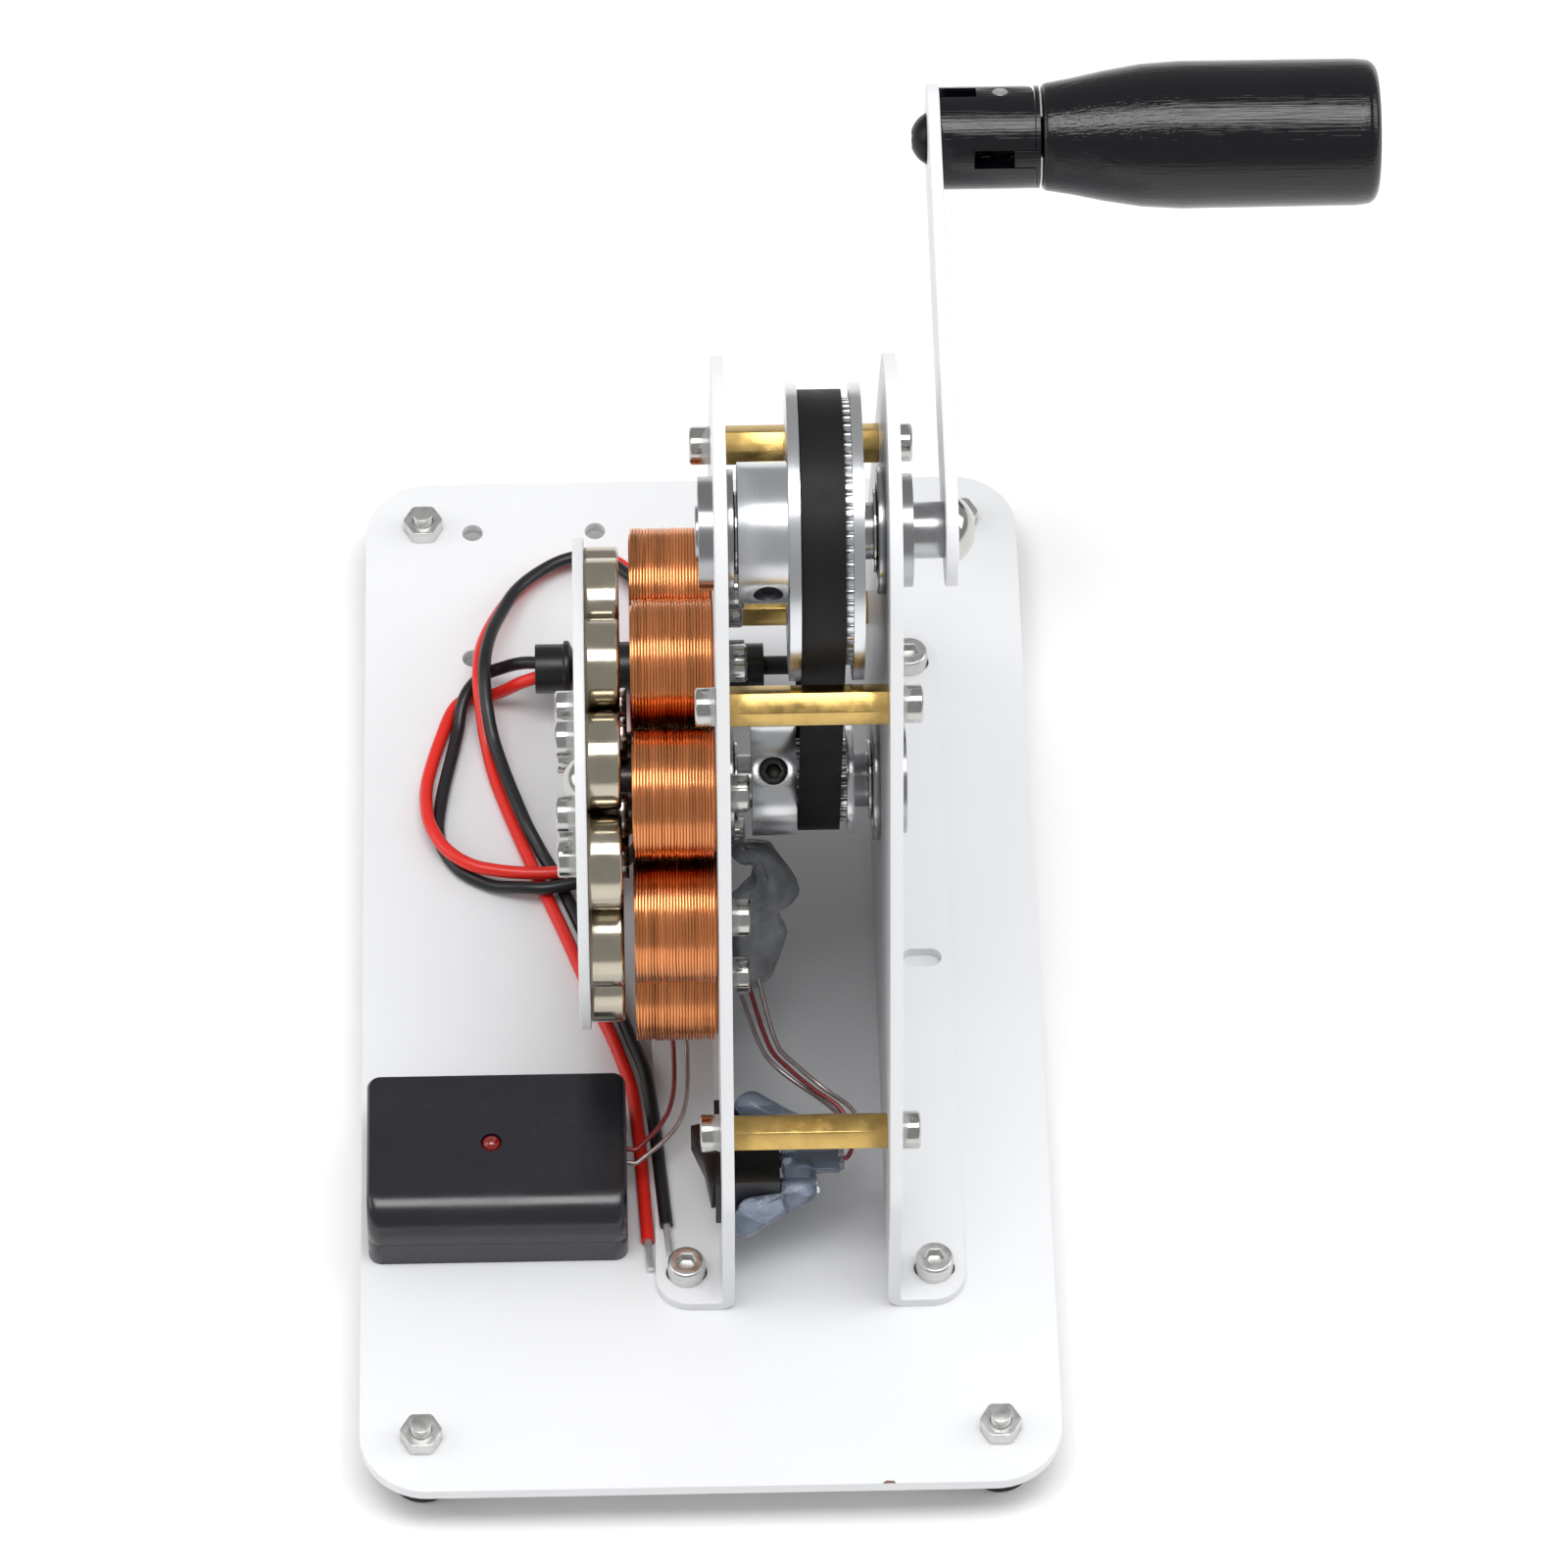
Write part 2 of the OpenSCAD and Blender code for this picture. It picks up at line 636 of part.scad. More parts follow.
module left_bracket() {
    color(coat) at(left_inner_x, bracket_y, 0) difference() {
        mirror([1, 0, 0]) bracket();
        for (p = coil_places)
            translate([-bracket_t - overrun, p[0], p[1]]) rotate([0, 90, 0])
                cylinder(r = m3_hole_r, h = bracket_t + 2 * overrun);
        translate([-bracket_t - overrun, -switch_y, switch_z])
            translate([0, switch_wall - switch_l / 2, switch_wall - switch_h / 2])
                cube([bracket_t + 2 * overrun, switch_l - 2 * switch_wall, switch_h - 2 * switch_wall]);
        translate([-bracket_t - overrun, gland_y, gland_z]) rotate([0, 90, 0])
            cylinder(d = gland_body_d + 2 * slip, h = bracket_t + 2 * overrun);
    }
}

module right_bracket() {
    color(coat) at(right_inner_x, bracket_y, 0) bracket();
}

module bracket_screws() {
    color(steel)
        for (p = flange_screw_places)
            at(p[0], p[1], bracket_t) mirror([0, 0, 1]) cap_screw(bracket_t + base_t + nut_h + nut_tip);
}

module bracket_nuts() {
    color(bright)
        for (p = flange_screw_places)
            at(p[0], p[1], -base_t - nut_h) hex_nut(nut_af, nut_h, m3_r + slip);
}

module standoffs() {
    color(brass_colour)
        for (p = standoff_places)
            along_x(left_inner_x, bracket_y + p[0], p[1]) difference() {
                rotate(p[2]) cylinder(d = standoff_af * hex_ratio, h = bracket_gap, $fn = 6);
                translate([0, 0, -overrun]) cylinder(r = m3_r + slip, h = bracket_gap + 2 * overrun);
            }
}

module standoff_screws() {
    color(bright)
        for (p = standoff_places) {
            along_x(left_inner_x - bracket_t, bracket_y + p[0], p[1]) cap_screw(standoff_screw_l);
            along_left(right_inner_x + bracket_t, bracket_y + p[0], p[1]) cap_screw(standoff_screw_l);
        }
}

module drive_shaft() {
    start = left_inner_x - bearing_w + bearing_flange_t - shaft_stub;
    color(steel) along_x(start, bracket_y, drive_z) difference() {
        cylinder(d = shaft_d, h = arm_x - start);
        translate([0, 0, arm_x - start - arm_screw_l])
            cylinder(d = arm_screw_d + 2 * slip, h = arm_screw_l + overrun);
    }
}

module driven_shaft() {
    start = magnet_x;
    color(steel) along_x(start, bracket_y, driven_z) difference() {
        cylinder(d = shaft_d, h = right_inner_x + bearing_w - bearing_flange_t - start);
        translate([0, 0, -overrun])
            cylinder(d = end_screw_d + 2 * slip, h = end_screw_l + overrun);
    }
}

// Flanged ball bearing: flange at zero, body towards positive z, a shallow step where its shield sits
module bearing() {
    bore_r = shaft_d / 2 + run_fit;
    race = 1.1;
    shield_drop = 0.3;
    rotate_extrude() polygon([[bore_r, 0], [bore_r + race, 0], [bore_r + race, shield_drop],
        [bearing_d / 2 - race, shield_drop], [bearing_d / 2 - race, 0], [bearing_flange_d / 2, 0],
        [bearing_flange_d / 2, bearing_flange_t], [bearing_d / 2, bearing_flange_t],
        [bearing_d / 2, bearing_w], [bearing_d / 2 - race, bearing_w],
        [bearing_d / 2 - race, bearing_w - shield_drop], [bore_r + race, bearing_w - shield_drop],
        [bore_r + race, bearing_w], [bore_r, bearing_w]]);
}

module left_bearing(z) {
    color(steel) along_left(left_inner_x + bearing_flange_t, bracket_y, z) bearing();
}

module right_bearing(z) {
    color(steel) along_x(right_inner_x - bearing_flange_t, bracket_y, z) bearing();
}

module drive_bearing_left() {
    left_bearing(drive_z);
}

module drive_bearing_right() {
    right_bearing(drive_z);
}

module driven_bearing_left() {
    left_bearing(driven_z);
}

module driven_bearing_right() {
    right_bearing(driven_z);
}

module shaft_washers(z) {
    color(bright)
        for (x = [left_inner_x + bearing_flange_t + hub_gap,
            right_inner_x - bearing_flange_t - hub_gap - washer_t])
            along_x(x, bracket_y, z) ring(washer_d, shaft_d + 2 * slip, washer_t);
}

module drive_washers() {
    shaft_washers(drive_z);
}

module driven_washers() {
    shaft_washers(driven_z);
}

// Toothed wheel with a round groove for each belt tooth
module toothed_2d(r, teeth) {
    difference() {
        circle(r = r);
        for (i = [0:teeth - 1])
            rotate(360 * i / teeth) translate([r, 0]) circle(r = groove_r, $fn = 24);
    }
}

module set_holes(r, x, d) {
    for (a = [0, 90])
        rotate(a) translate([0, 0, x]) rotate([0, 90, 0]) cylinder(d = d, h = r + overrun);
}

// Set screws stop a little inside the hub, over the shaft
module set_screws(x, d, l) {
    for (a = [0, 90])
        rotate(a) translate([shaft_d / 2 + slip, 0, x]) rotate([0, 90, 0]) difference() {
            cylinder(d = d, h = l);
            translate([0, 0, l - socket_depth])
                cylinder(d = d / 2 * hex_ratio, h = socket_depth + overrun, $fn = 6);
        }
}

drive_hub_x = left_inner_x + bearing_flange_t + hub_gap + washer_t;
drive_hub_l = pulley_x - drive_flange_t - drive_hub_x;
drive_set_x = drive_hub_l * 0.6;
driven_hub_x = pulley_x - driven_flange_t - driven_hub_l;
driven_set_x = driven_hub_l * 0.58;

module drive_pulley() {
    color(bright) along_x(drive_hub_x, bracket_y, drive_z) rotate(drive_turn) difference() {
        union() {
            cylinder(d = drive_hub_d, h = drive_hub_l + overrun);
            translate([0, 0, drive_hub_l]) cylinder(d = drive_flange_d, h = drive_flange_t);
            translate([0, 0, drive_hub_l + drive_flange_t])
                linear_extrude(pulley_slot_w) toothed_2d(drive_r, drive_teeth);
            translate([0, 0, drive_hub_l + drive_flange_t + pulley_slot_w])
                cylinder(d = drive_flange_d, h = drive_flange_t);
        }
        translate([0, 0, -overrun])
            cylinder(d = shaft_d + 2 * slip, h = drive_hub_l + 3 * drive_flange_t + pulley_slot_w);
        set_holes(drive_hub_d / 2, drive_set_x, set_hole_d);
    }
}

module drive_set_screws() {
    color("#55585C") along_x(drive_hub_x, bracket_y, drive_z) rotate(drive_turn)
        set_screws(drive_set_x, set_screw_d, set_screw_l);
}

module driven_pulley() {
    color(bright) along_x(driven_hub_x, bracket_y, driven_z) rotate(driven_turn) difference() {
        union() {
            cylinder(d = driven_flange_d, h = driven_hub_l + driven_flange_t);
            translate([0, 0, driven_hub_l + driven_flange_t])
                linear_extrude(pulley_slot_w) toothed_2d(driven_r, driven_teeth);
            translate([0, 0, driven_hub_l + driven_flange_t + pulley_slot_w])
                cylinder(d = driven_flange_d, h = driven_flange_t);
        }
        translate([0, 0, -overrun])
            cylinder(d = shaft_d + 2 * slip, h = driven_hub_l + 3 * driven_flange_t + pulley_slot_w);
        set_holes(driven_flange_d / 2, driven_set_x, set_hole_d);
    }
}

module driven_set_screws() {
    color("#55585C") along_x(driven_hub_x, bracket_y, driven_z) rotate(driven_turn)
        set_screws(driven_set_x, set_screw_d, driven_flange_d / 2 - shaft_d / 2 - 2 * slip - overrun);
}

// Outline that runs round both pulleys at a distance from their teeth
module belt_2d(off) {
    n = [cos(belt_lean), -sin(belt_lean)];
    a = drive_r + off;
    b = driven_r + off;
    circle(r = a);
    translate([0, -shaft_gap]) circle(r = b);
    polygon([a * n, [0, -shaft_gap] + b * n, [0, -shaft_gap] + [-b * n[0], b * n[1]], [-a * n[0], a * n[1]]]);
}

// The teeth stand only on the two straight runs, because the belt lies smooth over the wheels
module timing_belt() {
    run = [-sin(belt_lean), -cos(belt_lean)];
    n = [cos(belt_lean), -sin(belt_lean)];
    color("#1D1D1F")
        translate([pulley_x + belt_side_gap - span_x / 2, bracket_y - base_l / 2, drive_z + foot_h + base_t])
            rotate([90, 0, 90]) linear_extrude(belt_w) {
                difference() {
                    belt_2d(belt_clear + belt_t);
                    belt_2d(belt_clear);
                }
                for (side = [-1, 1])
                    for (s = [belt_big_keep:tooth_pitch:belt_span - belt_small_keep])
                        scale([side, 1]) translate((drive_r + belt_clear) * n + s * run)
                            circle(r = belt_tooth_r, $fn = 24);
            }
}

module rotor_disc() {
    color(coat) along_x(rotor_x, bracket_y, driven_z) difference() {
        cylinder(d = rotor_d, h = rotor_t);
        translate([0, 0, -overrun]) cylinder(d = end_screw_d + 2 * screw_hole_gap, h = rotor_t + 2 * overrun);
        for (i = [0:hub_screw_count - 1])
            rotate(360 * i / hub_screw_count) translate([hub_screw_ring_r, 0, -overrun])
                cylinder(r = m3_hole_r, h = rotor_t + 2 * overrun);
    }
}

module rotor_magnets() {
    color("#C9C7B8")
        along_x(magnet_x, bracket_y, driven_z)
            for (i = [0:magnet_count - 1])
                rotate(90 + 360 * i / magnet_count) translate([magnet_ring_r, 0, 0]) magnet();
}

module magnet() {
    edge = magnet_t / 16;
    cylinder(d1 = magnet_d - 2 * edge, d2 = magnet_d, h = edge);
    translate([0, 0, edge]) cylinder(d = magnet_d, h = magnet_t - 2 * edge);
    translate([0, 0, magnet_t - edge]) cylinder(d1 = magnet_d, d2 = magnet_d - 2 * edge, h = edge);
}

hub_set_x = hub_flange_t + hub_boss_l * 0.6;
module rotor_hub() {
    color(steel) along_x(magnet_x, bracket_y, driven_z) difference() {
        union() {
            cylinder(d = hub_flange_d, h = hub_flange_t);
            cylinder(d = hub_boss_d, h = hub_flange_t + hub_boss_l);
        }
        translate([0, 0, -overrun])
            cylinder(d = shaft_d + 2 * slip, h = hub_flange_t + hub_boss_l + 2 * overrun);
        for (i = [0:hub_screw_count - 1])
            rotate(360 * i / hub_screw_count) translate([hub_screw_ring_r, 0, -overrun])
                cylinder(r = m3_hole_r, h = hub_flange_t + 2 * overrun);
        rotate(180 / hub_screw_count) translate([0, 0, hub_set_x]) rotate([0, 90, 0])
            cylinder(d = set_hole_d, h = hub_boss_d / 2 + overrun);
    }
}

module rotor_hub_screws() {
    color(bright) along_x(rotor_x, bracket_y, driven_z)
        for (i = [0:hub_screw_count - 1])
            rotate(360 * i / hub_screw_count) translate([hub_screw_ring_r, 0, 0])
                cap_screw(rotor_t + hub_flange_t + hub_nut_h);
}

module rotor_hub_nuts() {
    color(steel) along_x(magnet_x + hub_flange_t, bracket_y, driven_z)
        for (i = [0:hub_screw_count - 1])
            rotate(360 * i / hub_screw_count) translate([hub_screw_ring_r, 0, 0])
                hex_nut(nut_af, hub_nut_h, m3_r + slip);
}

module rotor_hub_set_screw() {
    color("#55585C") along_x(magnet_x, bracket_y, driven_z)
        rotate(180 / hub_screw_count) translate([shaft_d / 2 + slip, 0, hub_set_x]) rotate([0, 90, 0])
            cylinder(d = set_screw_d, h = hub_set_l);
}

module rotor_end_screw() {
    color(bright) along_x(rotor_x, bracket_y, driven_z)
        button_screw(rotor_t + end_screw_l - overrun, end_screw_d, end_head_d, end_head_h);
}

// Places one piece of each coil, its own Z axis along X from the rotor side
module each_coil() {
    for (i = [0:coil_count - 1])
        along_x(coil_x, bracket_y + coil_places[i][0], coil_places[i][1]) rotate(180 - 360 * i / coil_count)
            children();
}

module coil_poles() {
    color(steel) each_coil() difference() {
        cylinder(d = pole_d, h = coil_l);
        translate([0, 0, coil_l - pole_screw_depth]) cylinder(r = m3_r + slip, h = pole_screw_depth + overrun);
    }
}

core_r = coil_d / 2 - turn_h - core_gap;
module coil_cores() {
    color(copper) each_coil() ring(2 * core_r, pole_d + 2 * pole_clear, coil_l);
}

// Outer layer of turns: one unbroken tube per coil, wound as a helix over the core
turn_pitch = (coil_l - turn_w) / (coil_turns + 0.5);
turn_r = coil_d / 2 - turn_h;
turn_total = coil_turns * turn_rings;
function turn_ring(i) = let (a = 360 * i / turn_rings, out = [cos(a), sin(a), 0],
    z = turn_w / 2 + turn_pitch / 4 + turn_pitch * i / turn_rings)
    [turn_r * out + [0, 0, z - turn_w / 2], (turn_r + turn_h) * out + [0, 0, z],
        turn_r * out + [0, 0, z + turn_w / 2]];
turn_points = [for (i = [0:turn_total]) each turn_ring(i)];
turn_gap = min([for (i = [0:turn_rings])
    norm(turn_points[i * turn_sides + 2] - turn_points[(i + turn_rings) * turn_sides])]);
echo("least gap between the turns of a coil", turn_gap);

module coil_windings() {
    color(copper) each_coil() swept(turn_points, turn_sides);
}

module coil_screws() {
    color(bright)
        for (p = coil_places)
            along_left(left_inner_x, bracket_y + p[0], p[1]) cap_screw(bracket_t + pole_screw_depth - overrun);
}

module crank_arm() {
    color(coat) along_x(arm_x, bracket_y, drive_z) difference() {
        linear_extrude(arm_t) {
            circle(d = arm_w);
            translate([0, crank_r]) circle(d = arm_w);
            translate([-arm_w / 2, 0]) square([arm_w, crank_r]);
        }
        translate([0, 0, -overrun]) cylinder(d = arm_screw_d + 2 * screw_hole_gap, h = arm_t + 2 * overrun);
        translate([0, crank_r, -overrun])
            cylinder(d = fork_screw_d + 2 * screw_hole_gap, h = arm_t + 2 * overrun);
    }
}

module crank_arm_screw() {
    color(bright) along_left(arm_x + arm_t, bracket_y, drive_z)
        button_screw(arm_t + arm_screw_l - overrun, arm_screw_d, arm_head_d, arm_head_h);
}

// Handle pieces: own Z axis along X, own X axis along the hinge pin
module handle_place(x) {
    at(x, handle_y, drive_z) rotate([-pin_tilt, 0, 0]) rotate([0, 90, 0]) mirror([1, 0, 0]) children();
}

module handle_fork() {
    color(black_plastic) handle_place(fork_x) difference() {
        cylinder(d = fork_d, h = fork_l);
        translate([-fork_slot_w / 2, -fork_d, fork_floor]) cube([fork_slot_w, 2 * fork_d, fork_l]);
        translate([-fork_d, fork_turn_r, -overrun]) cube([2 * fork_d, fork_d, fork_l + 2 * overrun]);
        translate([-fork_d, 0, pin_x]) rotate([90, 0, 90]) linear_extrude(2 * fork_d) difference() {
            square(fork_d);
            circle(r = fork_turn_r);
        }
        translate([-fork_d, 0, pin_x]) rotate([0, 90, 0]) cylinder(d = pin_d, h = 2 * fork_d);
        translate([fork_d / 2 - notch_depth, -notch_w / 2, -overrun])
            cube([fork_d, notch_w, notch_l + overrun]);
        translate([0, 0, -overrun]) cylinder(d = fork_screw_d + 2 * slip, h = fork_floor + 2 * overrun);
    }
}

module handle_screw() {
    color("#2B2724") along_x(arm_x, handle_y, drive_z)
        button_screw(fork_screw_l, fork_screw_d, fork_head_d, fork_head_h);
}

module handle_hinge_pin() {
    color(bright) handle_place(fork_x)
        translate([pin_drop - fork_d / 2, 0, pin_x]) rotate([0, 90, 0])
            cylinder(d = pin_d - 2 * run_fit, h = fork_d - 2 * pin_drop);
}

// Tongue in the fork, step and collar beside it and the spindle that the grip turns on, in one piece
module handle_knuckle() {
    tongue_r = pin_x - fork_floor - tongue_gap;
    collar_x = fork_l + collar_gap;
    color(black_plastic) handle_place(fork_x) difference() {
        union() {
            translate([-tongue_t / 2, 0, pin_x]) rotate([0, 90, 0]) cylinder(r = tongue_r, h = tongue_t);
            translate([-tongue_t / 2, -tongue_r, pin_x])
                cube([tongue_t, 2 * tongue_r, collar_x - pin_x + collar_t / 2]);
            intersection() {
                cylinder(d = fork_d, h = collar_x + collar_t);
                translate([-tongue_t / 2, -fork_d, pin_x + step_from_pin])
                    cube([tongue_t, fork_d, collar_x - pin_x - step_from_pin + collar_t / 2]);
            }
            translate([0, 0, collar_x]) cylinder(d = fork_d, h = collar_t);
            translate([0, 0, collar_x])
                cylinder(d = spindle_d, h = grip_x - fork_x + grip_l - collar_x - spindle_tail);
        }
        translate([-fork_d, 0, pin_x]) rotate([0, 90, 0]) cylinder(d = pin_d, h = 2 * fork_d);
    }
}

module handle_grip() {
    end_r = 2;
    neck_r = grip_neck_d / 2;
    big_r = grip_d / 2;
    swell_shares = [[0, 0], [0.08, 0.22], [0.18, 0.56], [0.3, 0.88], [0.42, 1], [0.96, 0.98]];
    color("#202226") handle_place(grip_x) difference() {
        rotate_extrude($fn = 96) polygon(concat([[0, 0], [neck_r - end_r / 4, 0]],
            [for (s = swell_shares) [neck_r + (big_r - neck_r) * s[1], end_r / 4 + (grip_l - end_r) * s[0]]],
            [for (a = [0:15:90]) [big_r - end_r * 1.1 + end_r * cos(a), grip_l - end_r + end_r * sin(a)]],
            [[0, grip_l]]));
        translate([0, 0, -overrun])
            cylinder(d = spindle_d + 2 * run_fit, h = grip_l - spindle_tail + overrun + grip_gap);
    }
}

module box_solid(inset, h0, h1) {
    box_slab(inset, inset, h0, h1);
}

module box_slab(front, side, h0, h1) {
    at(box_x + side, box_y + front, h0) linear_extrude(h1 - h0)
        round_rect_2d(box_w - 2 * side, box_l - front - side, box_r - side);
}

module box_tray() {
    color(black_plastic) difference() {
        box_solid(0, 0, box_split_h);
        box_solid(box_wall, box_wall, box_split_h + overrun);
    }
}

// Cover with a wide round along its front edge and a narrow one along the others
module box_cover() {
    color(black_plastic) difference() {
        hull() {
            box_solid(0, box_split_h, box_h - box_front_r);
            for (a = [15:15:90]) {
                h = box_h - box_front_r * (1 - sin(a));
                over = max(h - box_h + box_edge_r, 0);
                side = box_edge_r - sqrt(pow(box_edge_r, 2) - pow(over, 2));
                box_slab(box_front_r * (1 - cos(a)), side, box_split_h, h);
            }
        }
        box_solid(box_wall, box_split_h - overrun, box_h - box_front_r);
        box_slab(box_wall + box_front_r * box_front_share, box_wall, box_split_h, box_h - box_wall);
        at(box_x + box_w * lamp_x_share, box_y + box_l * lamp_y_share, box_h - 2 * box_wall)
            cylinder(d = lamp_d + 2 * slip, h = 3 * box_wall);
    }
}

module circuit_board() {
    inset = box_wall + board_gap;
    color("#1F6B3A") {
        box_solid(inset, board_lift, board_lift + board_t);
        for (x = [inset + board_post_d, box_w - inset - board_post_d])
            at(box_x + x, box_y + box_l / 2, box_wall) cylinder(d = board_post_d, h = board_lift - box_wall);
        at(box_x + box_w - inset - board_post_d, box_y + inset + 2 * board_post_d, board_lift + board_t)
            cylinder(d = part_can_d, h = part_can_h);
        at(box_x + inset + board_post_d, box_y + inset + board_post_d, board_lift + board_t)
            cube([part_chip_w, part_chip_w, part_chip_h]);
    }
}

module box_lamp() {
    foot = board_lift + board_t;
    color("#8E1712") at(box_x + box_w * lamp_x_share, box_y + box_l * lamp_y_share, foot) {
        cylinder(d = lamp_d, h = box_h + lamp_up - lamp_d / 2 - foot);
        translate([0, 0, box_h + lamp_up - lamp_d / 2 - foot]) sphere(d = lamp_d);
    }
}

// Switch pieces: the outer face of the left bracket at x = 0, the lever side towards negative x
module switch_place() {
    at(left_inner_x - bracket_t, bracket_y - switch_y, switch_z) children();
}

module switch_body() {
    wall_l = switch_l - 2 * switch_wall - 2 * slip;
    wall_h = switch_h - 2 * switch_wall - 2 * slip;
    recess_h = rocker_h + rocker_clear;
    color("#26262A") switch_place() difference() {
        union() {
            translate([-switch_rim, -switch_l / 2, -switch_h / 2]) cube([switch_rim, switch_l, switch_h]);
            translate([-switch_rim, -wall_l / 2, -wall_h / 2])
                cube([switch_rim + switch_depth, wall_l, wall_h]);
        }
        translate([-switch_rim - overrun, -rocker_l / 2 - rocker_clear, -recess_h / 2])
            cube([switch_rim + switch_depth - switch_wall + overrun, rocker_l + 2 * rocker_clear, recess_h]);
        translate([rocker_axle_x, 0, -recess_h / 2 - rocker_stub - rocker_stub_gap])
            cylinder(d = rocker_axle_d + 2 * run_fit, h = recess_h + 2 * rocker_stub + 2 * rocker_stub_gap);
        for (y = terminal_rows * terminal_pitch)
            translate([switch_depth - switch_wall - overrun, y - terminal_t / 2 - slip,
                    -terminal_w / 2 - slip])
                cube([switch_wall + 2 * overrun, terminal_t + 2 * slip, terminal_w + 2 * slip]);
    }
}

// Rocker: a bent bar on a round axle that turns in the walls of the body, its raised end to the back
module switch_rocker() {
    half = rocker_l / 2 - rocker_clear;
    axle_l = rocker_h + rocker_clear + 2 * rocker_stub;
    color("#1B1B1D") switch_place() translate([rocker_axle_x, 0, 0]) rotate(rocker_tilt) {
        translate([0, 0, -axle_l / 2]) cylinder(d = rocker_axle_d, h = axle_l);
        translate([0, 0, -rocker_h / 2]) linear_extrude(rocker_h)
            polygon([[0, -rocker_axle_d], [rocker_in, -half], [-rocker_out * 0.85, -half],
                [-rocker_out * 0.72, 0], [-rocker_out * 0.85, half], [rocker_in, half],
                [0, rocker_axle_d]]);
    }
}

module switch_terminals() {
    color("#B9B4A2") switch_place()
        for (y = terminal_rows * terminal_pitch)
            translate([switch_depth - switch_wall, y - terminal_t / 2, -terminal_w / 2])
                cube([terminal_l, terminal_t, terminal_w]);
}

// Lumps of hot glue: round blobs joined in pairs, given as [x, y, z, radius]
module glue_run(blobs) {
    for (i = [0:len(blobs) - 2])
        hull()
            for (b = [blobs[i], blobs[i + 1]])
                translate([b[0], b[1], b[2]]) sphere(r = b[3], $fn = hull_fn);
}

// Heat-shrink sleeves over the ends of the terminals and the wires on them
module switch_sleeves() {
    color("#2A2A2E") switch_place()
        for (y = sleeve_rows * terminal_pitch)
            translate([sleeve_x, y, 0]) rotate([0, 90, 0]) cylinder(d = sleeve_w, h = switch_sleeve_l);
}

module switch_glue() {
    color("#9FB0CC", 0.7) difference() {
        switch_place() {
            glue_run(switch_blobs);
            glue_run(sleeve_blobs);
        }
        at(left_inner_x - glue_trim, bracket_y - switch_y - switch_l, 0)
            cube([glue_trim, 2 * switch_l, 2 * switch_z]);
        switch_place() translate([0, -switch_l / 2 + switch_wall, -switch_h / 2 + switch_wall])
            cube([switch_depth, switch_l - 2 * switch_wall, switch_h - 2 * switch_wall]);
        switch_place() for (y = terminal_rows * terminal_pitch)
            translate([switch_depth - overrun, y - terminal_t / 2, -terminal_w / 2])
                cube([terminal_l - switch_wall + overrun, terminal_t, terminal_w]);
        switch_place() for (y = sleeve_rows * terminal_pitch)
            translate([sleeve_x, y, 0]) rotate([0, 90, 0]) cylinder(d = sleeve_w, h = 2 * switch_sleeve_l);
    }
}

module cable_gland() {
    collar_r = gland_d / 2;
    color("#1E1E20") along_x(gland_x, bracket_y + gland_y, gland_z) rotate_extrude() polygon([
        [0, gland_mouth_l], [gland_mouth_d / 2, gland_mouth_l], [gland_mouth_d / 2, 0], [collar_r, 0],
        [collar_r, gland_collar_l - gland_rib_t], [collar_r + gland_rib_h, gland_collar_l - gland_rib_t],
        [collar_r + gland_rib_h, gland_collar_l], [gland_waist_d / 2, gland_collar_l + gland_rib_t],
        [gland_waist_d / 2, gland_body_x], [gland_body_d / 2, gland_body_x], [gland_body_d / 2, gland_body_end],
        [gland_tube_d / 2, gland_body_end], [gland_tube_d / 2, gland_end_x], [0, gland_end_x]]);
}

module gland_nut() {
    color("#1E1E20") along_x(gland_x + gland_body_end, bracket_y + gland_y, gland_z)
        ring(gland_nut_d, gland_tube_d + 2 * slip, gland_end_x - gland_body_end);
}

module gland_sleeve() {
    color("#1E1E20") along_x(gland_x + gland_end_x, bracket_y + gland_y, gland_z)
        cylinder(d = sleeve_d, h = sleeve_l);
}

module red_lead() {
    color("#E23A30") at(0, 0, 0) tube(red_route, lead_d);
}

module black_lead() {
    color("#2C2C30") at(0, 0, 0) tube(black_route, lead_d);
}

// Bare tinned ends, in line with the last run of each lead
module lead_tips() {
    color(bright)
        for (route = [red_route, black_route]) {
            last = route[len(route) - 1];
            dir = run_dir(route, len(route) - 1);
            at(0, 0, 0) tube([last, last + tip_l / 2 * dir, last + tip_l * dir], tip_d);
        }
}

module box_wires() {
    color("#B98A86") at(0, 0, 0)
        for (route = box_wire_routes)
            tube(route, wire_d);
}

module switch_wires() {
    color("#B98A86") at(0, 0, 0)
        for (route = switch_wire_routes)
            tube(route, wire_d);
}

module glue_lump() {
    color("#9FA7B4", 0.8) difference() {
        at(0, 0, 0) glue_run(lump_blobs);
        at(left_inner_x - glue_trim, 0, 0) cube([glue_trim, bracket_y, driven_z]);
        for (p = coil_places)
            along_x(left_inner_x - slip, bracket_y + p[0], p[1])
                cylinder(d = screw_head_d + 2 * slip, h = screw_head_h + 2 * slip);
    }
}

base_plate();
rubber_feet();
foot_screws();
foot_nuts();
left_bracket();
right_bracket();
bracket_screws();
bracket_nuts();
standoffs();
standoff_screws();
drive_shaft();
driven_shaft();
drive_bearing_left();
drive_bearing_right();
driven_bearing_left();
driven_bearing_right();
drive_washers();
driven_washers();
drive_pulley();
drive_set_screws();
driven_pulley();
driven_set_screws();
timing_belt();
rotor_disc();
rotor_magnets();
rotor_hub();
rotor_hub_screws();
rotor_hub_nuts();
rotor_hub_set_screw();
rotor_end_screw();
coil_poles();
coil_cores();
coil_windings();
coil_screws();
crank_arm();
crank_arm_screw();
handle_fork();
handle_screw();
handle_hinge_pin();
handle_knuckle();
handle_grip();
box_tray();
box_cover();
circuit_board();
box_lamp();
switch_body();
